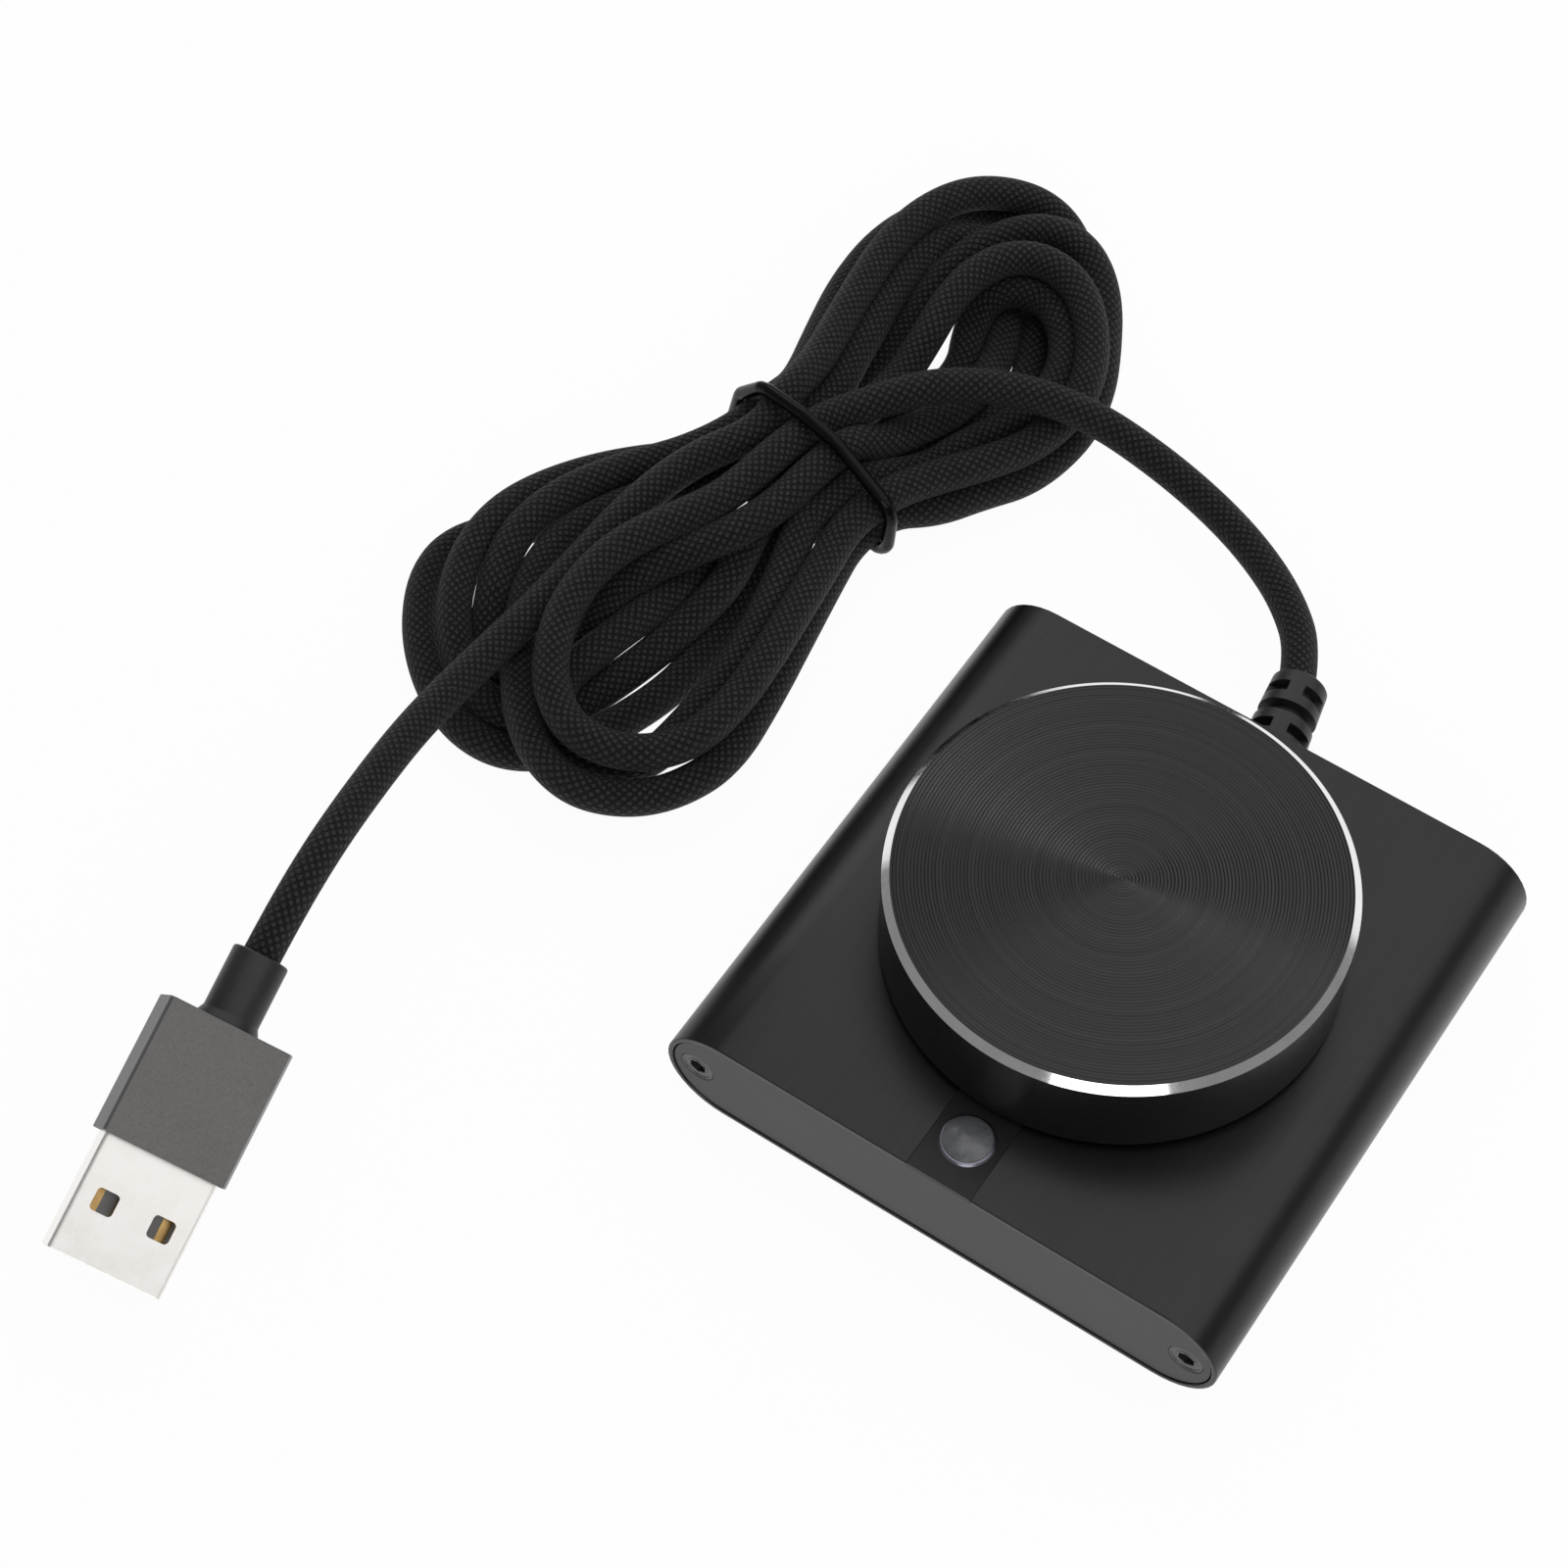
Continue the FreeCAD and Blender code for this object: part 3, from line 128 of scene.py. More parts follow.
class Recipe:
    """The node tree of one material, with a method for each thing that recurs in it."""

    def __init__(self, name: str) -> None:
        """Start a material with an empty tree."""
        self.material = bpy.data.materials.new(name)
        self.material.use_nodes = True
        self.tree = self.material.node_tree
        self.tree.nodes.clear()

    def node(
        self,
        kind: str,
        settings: dict[str, Any] | None = None,
        values: dict[Any, Any] | None = None,
        output: int | str = 0,
    ) -> Link:
        """Add a node.

        Args:
            kind: The node's type.
            settings: Its properties, which are set first.
            values: The values or links of its input sockets, by name or number.
            output: Which output is returned, by name or number.

        Returns:
            The chosen output.
        """
        made = self.tree.nodes.new(kind)
        for key, value in (settings or {}).items():
            setattr(made, key, value)
        for key, value in (values or {}).items():
            socket = made.inputs[key]
            if isinstance(value, Link):
                self.tree.links.new(value.socket, socket)
            else:
                socket.default_value = value
        return Link(self, made.outputs[output])

    def place(self, stretch: Point = (1.0, 1.0, 1.0), shift: Point = (0.0, 0.0, 0.0)) -> Link:
        """Return the object's own coordinates in millimetres, stretched and shifted."""
        coordinates = self.node("ShaderNodeTexCoord", output="Object")
        scale = tuple(value / MM for value in stretch)
        values = {"Vector": coordinates, "Scale": scale, "Location": shift}
        return self.node("ShaderNodeMapping", {}, values)

    def surface(self) -> Link:
        """Return the UV map, in millimetres along and around."""
        return self.node("ShaderNodeTexCoord", output="UV")

    def noise(
        self, at: Link, scale: float, detail: float = 2.0, rough: float = 0.5, warp: float = 0.0
    ) -> Link:
        """Return a noise about 0.5, with scale in waves per millimetre."""
        values = {
            "Vector": at,
            "Scale": scale,
            "Detail": detail,
            "Roughness": rough,
            "Distortion": warp,
        }
        return self.node("ShaderNodeTexNoise", {}, values)

    def shade(self, value: Link, colour: Colour, dark: float, pale: float) -> Link:
        """Return a colour between its dark and its pale multiple by a value from 0 to 1.

        A Mix node takes its two colours at inputs 6 and 7 and gives the mixed one at output 2.
        """
        values = {0: value, 6: (*lighter(colour, dark), 1.0), 7: (*lighter(colour, pale), 1.0)}
        return self.node("ShaderNodeMix", {"data_type": "RGBA"}, values, output=2)

    def relief(self, height: Link, depth: float) -> Link:
        """Return the normal of a relief, its height from 0 to 1 and its depth in millimetres."""
        values = {"Strength": 1.0, "Distance": depth * MM, "Height": height}
        return self.node("ShaderNodeBump", {}, values)

    def finish(self, shader: Link) -> bpy.types.Material:
        """Connect the shader to the output and return the material."""
        result = self.tree.nodes.new("ShaderNodeOutputMaterial")
        self.tree.links.new(shader.socket, result.inputs["Surface"])
        return self.material

    def principled(self, **values: Any) -> bpy.types.Material:
        """Finish with a Principled shader, its sockets named with _ for a space."""
        named = {key.replace("_", " "): value for key, value in values.items()}
        return self.finish(self.node("ShaderNodeBsdfPrincipled", {}, named))


# ---------------------------------------------------------------------------------------
# Finishes
# ---------------------------------------------------------------------------------------


def lighter(colour: Colour, factor: float) -> Colour:
    """Return the colour times a factor, no channel above 1."""
    return tuple(min(1.0, channel * factor) for channel in colour)  # type: ignore[return-value]


class Draw(Enum):
    """How the object's coordinates are stretched for the long die lines of a drawn metal."""

    NONE = (1.0, 1.0, 1.0)
    ALONG_Y = (1.0, 0.02, 1.0)


@dataclass(frozen=True)
class Anodised:
    """Blasted and dyed aluminium: a fine pitted grain, faint clouds and die lines."""

    name: str
    colour: Colour
    roughness: float = 0.42
    metallic: float = 0.75
    grain: float = 0.004
    pitch: float = 7.0
    draw: Draw = Draw.NONE
    sparkle: float = 0.25

    def make(self) -> bpy.types.Material:
        """Build the material."""
        recipe = Recipe(self.name)
        at = recipe.place()
        pits = recipe.noise(at, self.pitch, 3.0, 0.65)
        clouds = recipe.noise(at, 0.09, 2.0)
        lines = recipe.noise(recipe.place(self.draw.value), 2.4, 2.0)
        tone = (pits - 0.5) * self.sparkle + clouds * 0.35 + lines * 0.25 + 0.12
        return recipe.principled(
            Base_Color=recipe.shade(tone, self.colour, 0.72, 1.45),
            Roughness=self.roughness + (pits - 0.5) * 0.16 + (clouds - 0.5) * 0.08,
            Metallic=self.metallic,
            Normal=recipe.relief(pits + lines * 0.5, self.grain),
        )


@dataclass(frozen=True)
class Spun:
    """The face of the knob between its turned rings: hairlines and specks round the middle."""

    name: str
    colour: Colour
    centre: Point
    roughness: float = 0.22
    depth: float = 0.0008
    pitch: float = 0.34

    def make(self) -> bpy.types.Material:
        """Build the material: the noises are functions of the distance from the middle."""
        recipe = Recipe(self.name)
        at = recipe.place(shift=(-self.centre[0], -self.centre[1], 0.0))
        flat = recipe.node("ShaderNodeCombineXYZ", {}, {0: at.part(0), 1: at.part(1)})
        length = {"operation": "LENGTH"}
        radius = recipe.node("ShaderNodeVectorMath", length, {0: flat}, output="Value")
        ring = recipe.node("ShaderNodeCombineXYZ", {}, {0: radius})
        uneven = recipe.noise(ring, 1.3, 3.0, 0.7)
        fine = recipe.noise(ring, 11.0, 2.0, 0.6)
        specks = recipe.noise(recipe.place(), 5.0, 2.0)
        wave = (radius * (TURN / self.pitch)).math("SINE")
        tone = wave * 0.22 + (uneven - 0.5) * 0.9 + (fine - 0.5) * 0.5 + specks * 0.2 + 0.4
        return recipe.principled(
            Base_Color=recipe.shade(tone, self.colour, 0.5, 1.5),
            Roughness=self.roughness + (fine - 0.5) * 0.08,
            Metallic=0.95,
            Anisotropic=0.5,
            Anisotropic_Rotation=0.25,
            Normal=recipe.relief(fine, self.depth),
        )


@dataclass(frozen=True)
class Bright:
    """Bright cut or plated metal with fine scratches and slightly uneven gloss."""

    name: str
    colour: Colour
    roughness: float = 0.14
    scratch: float = 0.0015
    stretch: Point = (1.0, 6.0, 1.0)
    darkest: float = 0.86

    def make(self) -> bpy.types.Material:
        """Build the material."""
        recipe = Recipe(self.name)
        hair = recipe.noise(recipe.place(self.stretch), 1.6, 4.0, 0.7)
        clouds = recipe.noise(recipe.place(), 0.5, 2.0)
        return recipe.principled(
            Base_Color=recipe.shade(hair * 0.4 + clouds * 0.6, self.colour, self.darkest, 1.1),
            Roughness=self.roughness + (hair - 0.5) * 0.12 + (clouds - 0.5) * 0.08,
            Metallic=1.0,
            Normal=recipe.relief(hair, self.scratch),
        )


@dataclass(frozen=True)
class Moulded:
    """Moulded plastic or rubber: a fine spark-eroded grain and faint dust."""

    name: str
    colour: Colour
    roughness: float = 0.5
    grain: float = 0.006
    pitch: float = 5.0
    shine: float = 0.5

    def make(self) -> bpy.types.Material:
        """Build the material."""
        recipe = Recipe(self.name)
        at = recipe.place()
        skin = recipe.noise(at, self.pitch, 3.0, 0.6)
        clouds = recipe.noise(at, 0.35, 2.0)
        dust = recipe.noise(at, 3.1, 1.0).step(0.70, 0.78)
        tone = skin * 0.45 + clouds * 0.4 + dust * 0.5
        return recipe.principled(
            Base_Color=recipe.shade(tone, self.colour, 0.75, 1.5),
            Roughness=self.roughness + (skin - 0.5) * 0.18 + dust * 0.1,
            Specular_IOR_Level=self.shine,
            Normal=recipe.relief(skin, self.grain),
        )


@dataclass(frozen=True)
class Frosted:
    """The dome of the light: milky plastic, paler where the blasting went deeper."""

    name: str
    colour: Colour

    def make(self) -> bpy.types.Material:
        """Build the material."""
        recipe = Recipe(self.name)
        at = recipe.place()
        blotch = recipe.noise(at, 0.9, 4.0, 0.6, 0.8)
        skin = recipe.noise(at, 6.0, 3.0, 0.6)
        tone = blotch * 1.3 - 0.25 + (skin - 0.5) * 0.4
        return recipe.principled(
            Base_Color=recipe.shade(tone, self.colour, 0.55, 1.5),
            Roughness=0.3 + skin * 0.2,
            Coat_Weight=0.4,
            Coat_Roughness=0.2,
            Subsurface_Weight=0.15,
            Subsurface_Radius=(MM, MM, MM),
            Normal=recipe.relief(skin, 0.012),
        )


@dataclass(frozen=True)
class Braid:
    """A braided sleeve: two sets of yarn bundles that cross on the diagonals.

    The UV map runs in millimetres along the cord and around it.  The bundles follow the
    two diagonals u + v and u - v, so that lozenges show where both sets have their crowns,
    and a third wave along the bundles makes the single yarns.  The colour is painted paler
    on the crowns and yarn crests and darker in the troughs: painted highlight and painted shade.
    """

    name: str
    colour: Colour
    around: float
    carriers: int = 13
    lean: float = 1.1
    depth: float = 0.26
    yarns: float = 4.0

    def _bundles(self, recipe: Recipe, side: float) -> tuple[Link, Link]:
        """Return the crown of one set of bundles and the fine yarns in it."""
        at = recipe.surface()
        turn = at.part(1) * (TURN * self.carriers / self.around)
        travel = at.part(0) * (TURN * self.carriers / (self.around * self.lean))
        crown = (travel + turn * side).math("SINE") * 0.5 + 0.5
        fine = ((travel * 0.5 - turn * side) * self.yarns).math("SINE") * 0.5 + 0.5
        return crown, fine

    def make(self) -> bpy.types.Material:
        """Build the material."""
        recipe = Recipe(self.name)
        right, right_yarns = self._bundles(recipe, 1.0)
        left, left_yarns = self._bundles(recipe, -1.0)
        over = (right - left).step(-0.25, 0.25)
        yarns = right_yarns * over + left_yarns * (1.0 - over)
        crown = (right * left).step(0.0, 0.55)
        at = recipe.surface()
        fuzz = recipe.noise(at, 3.6, 4.0, 0.75)
        slub = recipe.noise(at, 0.5, 2.0)
        lint = recipe.noise(recipe.place(), 2.6, 2.0, 0.5).step(0.69, 0.76)
        height = crown * 0.75 + yarns * 0.2 + fuzz * 0.6
        # Painted highlight and shade: the crown and yarn terms make the raised crowns and yarn
        # crests paler and the troughs between the bundles darker; fuzz, slub and lint are random
        # tone and fluff.
        tone = crown * 0.55 + yarns * 0.12 + fuzz * 1.3 + slub * 0.3 + lint * 0.8 - 0.92
        return recipe.principled(
            Base_Color=recipe.shade(tone, self.colour, 0.05, 5.2),
            Roughness=0.62 + (fuzz - 0.5) * 0.3,
            Sheen_Weight=0.05,
            Sheen_Roughness=0.5,
            Specular_IOR_Level=0.2,
            Normal=recipe.relief(height, self.depth),
        )


@dataclass(frozen=True)
class Laminate:
    """A circuit board: solder mask over faint copper tracks."""

    name: str
    colour: Colour

    def make(self) -> bpy.types.Material:
        """Build the material."""
        recipe = Recipe(self.name)
        at = recipe.place()
        settings = {"distance": "MANHATTAN", "feature": "F1"}
        values = {"Vector": at, "Scale": 0.35, "Randomness": 0.7}
        tracks = recipe.node("ShaderNodeTexVoronoi", settings, values).step(0.42, 0.46) * 0.5
        weave = recipe.noise(at, 2.5, 2.0)
        return recipe.principled(
            Base_Color=recipe.shade(tracks + weave * 0.4, self.colour, 0.7, 1.7),
            Roughness=0.35 + weave * 0.1,
            Normal=recipe.relief(tracks, 0.03),
        )


@dataclass(frozen=True)
class Backdrop:
    """The pale floor, which the camera, gloss and glass see as nearly white."""

    name: str
    colour: Colour
    glow: float

    def make(self) -> bpy.types.Material:
        """Build the material: plain diffuse for light, partly a plain glow for the eye."""
        recipe = Recipe(self.name)
        mottle = recipe.noise(recipe.place(), 0.004, 2.0)
        colour = recipe.shade(mottle, self.colour, 0.99, 1.0)
        matt = recipe.node("ShaderNodeBsdfDiffuse", {}, {"Color": colour})
        light = recipe.node("ShaderNodeEmission", {}, {"Color": (1.0, 1.0, 1.0, 1.0)})
        seen = recipe.node("ShaderNodeLightPath", output="Is Camera Ray")
        for ray in ("Is Glossy Ray", "Is Transmission Ray"):
            seen = seen.math("MAXIMUM", recipe.node("ShaderNodeLightPath", output=ray))
        mixed = recipe.node("ShaderNodeMixShader", {}, {0: seen * self.glow, 1: matt, 2: light})
        return recipe.finish(mixed)


CORD_RADIUS = 1.93
KNOB_CENTRE: Point = (0.0, 0.9, 0.0)

FINISHES: dict[str, Any] = {
    finish.name: finish
    for finish in (
        Anodised("case_metal", (0.032, 0.032, 0.0335), 0.32, 0.92, draw=Draw.ALONG_Y),
        Anodised("plate_metal", (0.061, 0.061, 0.063), 0.55, 0.45, 0.014, 6.0, sparkle=0.6),
        Anodised("screw_steel", (0.075, 0.075, 0.077), 0.36, 0.8, 0.003, 8.0),
        Anodised("knob_metal", (0.060, 0.060, 0.062), 0.30, 0.92, 0.003, 9.0),
        Anodised("grip_metal", (0.132, 0.127, 0.124), 0.5, 0.35, 0.030, 4.5, sparkle=1.1),
        Moulded("foot_rubber", (0.022, 0.022, 0.022), 0.72, 0.010, 4.0),
        Moulded("insert_plastic", (0.007, 0.007, 0.0075), 0.42, 0.004, 6.0, shine=0.3),
        Moulded("led_body", (0.8, 0.8, 0.74), 0.35, 0.003, 6.0),
        Moulded("chip_plastic", (0.03, 0.03, 0.03), 0.5),
        Moulded("header_plastic", (0.72, 0.70, 0.62), 0.45),
        Moulded("wire_sheath", (0.06, 0.06, 0.06), 0.5),
        Moulded("encoder_plastic", (0.035, 0.035, 0.035), 0.5),
        Moulded("core_plastic", (0.04, 0.04, 0.04), 0.5),
        Moulded("boot_rubber", (0.020, 0.020, 0.022), 0.40, 0.008, 5.0, shine=0.3),
        Moulded("tie_rubber", (0.003, 0.003, 0.0033), 0.24, 0.003, 5.0, shine=0.12),
        Moulded("tongue_plastic", (0.25, 0.245, 0.24), 0.45),
        Bright("lens_rim", (0.20, 0.20, 0.235), 0.30),
        Bright("plated_steel", (0.6, 0.6, 0.58), 0.25),
        Bright("contact_brass", (0.86, 0.56, 0.22), 0.25, 0.002, (4.0, 0.25, 3.0), 0.3),
        Bright("shaft_metal", (0.6, 0.6, 0.6), 0.3),
        Bright("knob_cut", (0.86, 0.85, 0.85), 0.10, 0.001, (1.0, 1.0, 1.0)),
        Bright("grip_cut", (0.30, 0.30, 0.305), 0.22),
        Bright("shell_steel", (1.0, 0.95, 0.895), 0.30, 0.002, (2.0, 0.2, 2.0), 0.95),
        Frosted("lens_plastic", (0.115, 0.118, 0.126)),
        Laminate("board_laminate", (0.02, 0.12, 0.05)),
        Spun("knob_face", (0.0300, 0.0300, 0.0306), KNOB_CENTRE),
        Braid("cord_braid", (0.010, 0.010, 0.0102), TURN * CORD_RADIUS),
        Backdrop("pale_floor", (0.86, 0.86, 0.86), 0.955),
    )
}


class Wardrobe:
    """Makes each finish once, on first use."""

    def __init__(self) -> None:
        """Start with nothing made."""
        self.made: dict[str, bpy.types.Material] = {}

    def get(self, name: str) -> bpy.types.Material:
        """Return the material of a finish."""
        if name not in self.made:
            self.made[name] = FINISHES[name].make()
        return self.made[name]


WARDROBE = Wardrobe()


# ---------------------------------------------------------------------------------------
# Meshes
# ---------------------------------------------------------------------------------------


def smooth_turn(count: int) -> np.ndarray:
    """Return count angles once round, without the repeated last one."""
    return np.linspace(0.0, TURN, count, endpoint=False)


def rounded(corners: list[tuple[float, float, float]], steps: int = 5) -> np.ndarray:
    """Round the corners of an open profile.

    Each corner is given as (x, y, radius).  A corner of radius r is replaced by the arc that
    touches both of its sides, sampled at equal angles; the ends stay as they are.

    Args:
        corners: The profile's corners with their radii in millimetres.
        steps: Samples on each arc.

    Returns:
        The profile as an array of points, shape (n, 2).
    """
    spots = np.array(corners, float)
    out = [spots[:1, :2]]
    for before, corner, after in zip(spots, spots[1:], spots[2:]):
        arriving = before[:2] - corner[:2]
        leaving = after[:2] - corner[:2]
        arriving /= np.linalg.norm(arriving)
        leaving /= np.linalg.norm(leaving)
        half = math.acos(float(np.clip(arriving @ leaving, -1.0, 1.0))) / 2.0
        if corner[2] <= 0.0 or half > STRAIGHT:
            out.append(corner[None, :2])
            continue
        reach = corner[2] / math.tan(half)
        share = np.linspace(0.0, 1.0, steps)[:, None]
        middle = (arriving + leaving) / np.linalg.norm(arriving + leaving)
        centre = corner[:2] + middle * corner[2] / math.sin(half)
        first = corner[:2] + arriving * reach - centre
        last = corner[:2] + leaving * reach - centre
        opening = math.pi - 2.0 * half
        weights = np.hstack([np.sin((1.0 - share) * opening), np.sin(share * opening)])
        out.append(centre + (weights @ np.vstack([first, last])) / math.sin(opening))
    out.append(spots[-1:, :2])
    return np.vstack(out)


def lathe(profile: np.ndarray, segments: int, centre: Point = (0.0, 0.0, 0.0)) -> np.ndarray:
    """Turn a profile round an upright axis.

    Point (i, j) is the centre plus (r_i cos a_j, r_i sin a_j, h_i).

    Args:
        profile: Rows of radius and height in millimetres.
        segments: Points once round.
        centre: Where the axis stands.

    Returns:
        A grid of points, shape (rows, segments, 3), in millimetres.
    """
    angle = smooth_turn(segments)
    radius = profile[:, :1]
    grid = np.stack(
        [
            radius * np.cos(angle),
            radius * np.sin(angle),
            np.repeat(profile[:, 1:], segments, axis=1),
        ],
        axis=-1,
    )
    return grid + np.array(centre)


def oval(half_width: float, radius: float, inset: float, round_end: int = 20) -> np.ndarray:
    """Return a flat-topped oval with half-round ends, moved inwards by an inset.

    It starts in the middle of the top and runs to the right.  The flat runs carry extra
    points, so that every inset of the same oval has matching columns.
    """
    reach = half_width - radius
    flat = np.linspace(0.0, reach, 9)[:-1]
    turn = np.linspace(0.0, math.pi, round_end)
    size = radius - inset
    right = np.stack([reach + size * np.sin(turn), size * np.cos(turn)], axis=1)
    top = np.stack([flat, np.full_like(flat, size)], axis=1)
    low = np.stack([flat[::-1], np.full_like(flat, -size)], axis=1)
    half = np.vstack([top, right, low])
    return np.vstack([half, (half[1:-1] * [-1.0, 1.0])[::-1]])


def hub(ring: np.ndarray) -> np.ndarray:
    """Return a ring of points drawn together in their middle, to close an end."""
    return np.broadcast_to(ring.mean(axis=-2, keepdims=True), ring.shape)


def tube(path: np.ndarray, radius: float, segments: int) -> np.ndarray:
    """Carry a circle along an open path.

    The side vector is the tangent crossed with straight up, so the frame never twists, and
    point (i, j) is path_i + r (side_i cos a_j + lift_i sin a_j).

    Args:
        path: The centre line in millimetres, shape (n, 3).
        radius: The circle's radius.
        segments: Points once round, with the seam repeated.

    Returns:
        A grid of points, shape (n, segments + 1, 3).
    """
    along = np.vstack([path[1:], path[-1:]]) - np.vstack([path[:1], path[:-1]])
    along /= np.linalg.norm(along, axis=1)[:, None]
    side = np.cross(along, UP)
    side /= np.linalg.norm(side, axis=1)[:, None]
    lift = np.cross(side, along)
    angle = np.linspace(0.0, TURN, segments + 1)[None, :, None]
    offset = side[:, None, :] * np.cos(angle) + lift[:, None, :] * np.sin(angle)
    return path[:, None, :] + radius * offset


class Shell:
    """A mesh that is gathered from grids of points, then closed and shaded."""

    def __init__(self) -> None:
        """Start with no points."""
        self.points: list[np.ndarray] = []
        self.faces: list[np.ndarray] = []
        self.slots: list[np.ndarray] = []
        self.maps: list[np.ndarray] = []
        self.extra: list[tuple[list[int], int]] = []
        self.count = 0

    def patch(
        self,
        grid: np.ndarray,
        wrap: bool = False,
        loop: bool = False,
        slot: "int | np.ndarray" = 0,
        uv: np.ndarray | None = None,
        keep: np.ndarray | None = None,
    ) -> np.ndarray:
        """Add a grid of points with a face in each of its cells.

        Args:
            grid: The points in millimetres, shape (rows, columns, 3).
            wrap: Join the last column to the first.
            loop: Join the last row to the first.
            slot: The material slot of all the faces, or an array that spreads over the cells.
            uv: A UV map with one pair for each point.
            keep: Which faces stay, by row and column.

        Returns:
            The index of each point in the mesh.
        """
        rows, columns = grid.shape[:2]
        index = np.arange(rows * columns).reshape(rows, columns) + self.count
        cells = np.hstack([index, index[:, :1]]) if wrap else index
        cells = np.vstack([cells, cells[:1]]) if loop else cells
        quads = np.stack([cells[:-1, :-1], cells[:-1, 1:], cells[1:, 1:], cells[1:, :-1]], -1)
        slots = np.zeros(quads.shape[:2], int) + slot
        chosen = np.ones(quads.shape[:2], bool) if keep is None else keep
        self.points.append(grid.reshape(-1, 3))
        self.faces.append(quads[chosen])
        self.slots.append(slots[chosen])
        self.maps.append(np.zeros((rows * columns, 2)) if uv is None else uv.reshape(-1, 2))
        self.count += rows * columns
        return index

    def loose(self, points: np.ndarray) -> list[int]:
        """Add points without faces and return their indices."""
        self.points.append(points)
        self.maps.append(np.zeros((len(points), 2)))
        self.count += len(points)
        return list(range(self.count - len(points), self.count))

    def face(self, corners: list[int], slot: int = 0) -> None:
        """Add one face with any number of corners."""
        self.extra.append((corners, slot))

    def build(
        self,
        name: str,
        finishes: list[str],
        crease: float = 32.0,
        merge: bool = True,
        smooth: bool = True,
    ) -> bpy.types.Object:
        """Make the object.

        Args:
            name: The piece's name.
            finishes: The finish of each material slot.
            crease: Edges sharper than this angle in degrees stay sharp.
            merge: Join points that coincide and turn all faces outwards.
            smooth: Shade smoothly between the creases, or each face flat.

        Returns:
            The new object, with its place in its mesh.
        """
        points = np.vstack(self.points) * MM
        faces = np.vstack(self.faces)
        maps = np.vstack(self.maps)
        mesh = bpy.data.meshes.new(name)
        loops = faces.tolist() + [corners for corners, _ in self.extra]
        mesh.from_pydata(points.tolist(), [], loops)
        slots = np.concatenate([*self.slots, [slot for _, slot in self.extra]]).astype(int)
        mesh.polygons.foreach_set("material_index", slots)
        layer = mesh.uv_layers.new(name="UVMap")
        order = np.zeros(len(mesh.loops), int)
        mesh.loops.foreach_get("vertex_index", order)
        layer.data.foreach_set("uv", maps[order].ravel())
        if merge:
            gathered = bmesh.new()
            gathered.from_mesh(mesh)
            bmesh.ops.remove_doubles(gathered, verts=gathered.verts, dist=WELD)
            bmesh.ops.recalc_face_normals(gathered, faces=gathered.faces)
            gathered.to_mesh(mesh)
            gathered.free()
        if smooth:
            mesh.shade_smooth()
            mesh.set_sharp_from_angle(angle=math.radians(crease))
        else:
            mesh.shade_flat()
        for finish in finishes:
            mesh.materials.append(WARDROBE.get(finish))
        made = bpy.data.objects.new(name, mesh)
        bpy.context.scene.collection.objects.link(made)
        return made


def settle(piece: bpy.types.Object, body: str, slot: str, *nodes: str) -> bpy.types.Object:
    """Let a piece ride on a body, hide the nodes that it stands for and log its faces."""
    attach(piece, body)
    if nodes:
        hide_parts(*nodes)
    LOG.info("%s: %d faces on %s", piece.name, len(piece.data.polygons), body)
    return piece


# ---------------------------------------------------------------------------------------
# Case
# ---------------------------------------------------------------------------------------


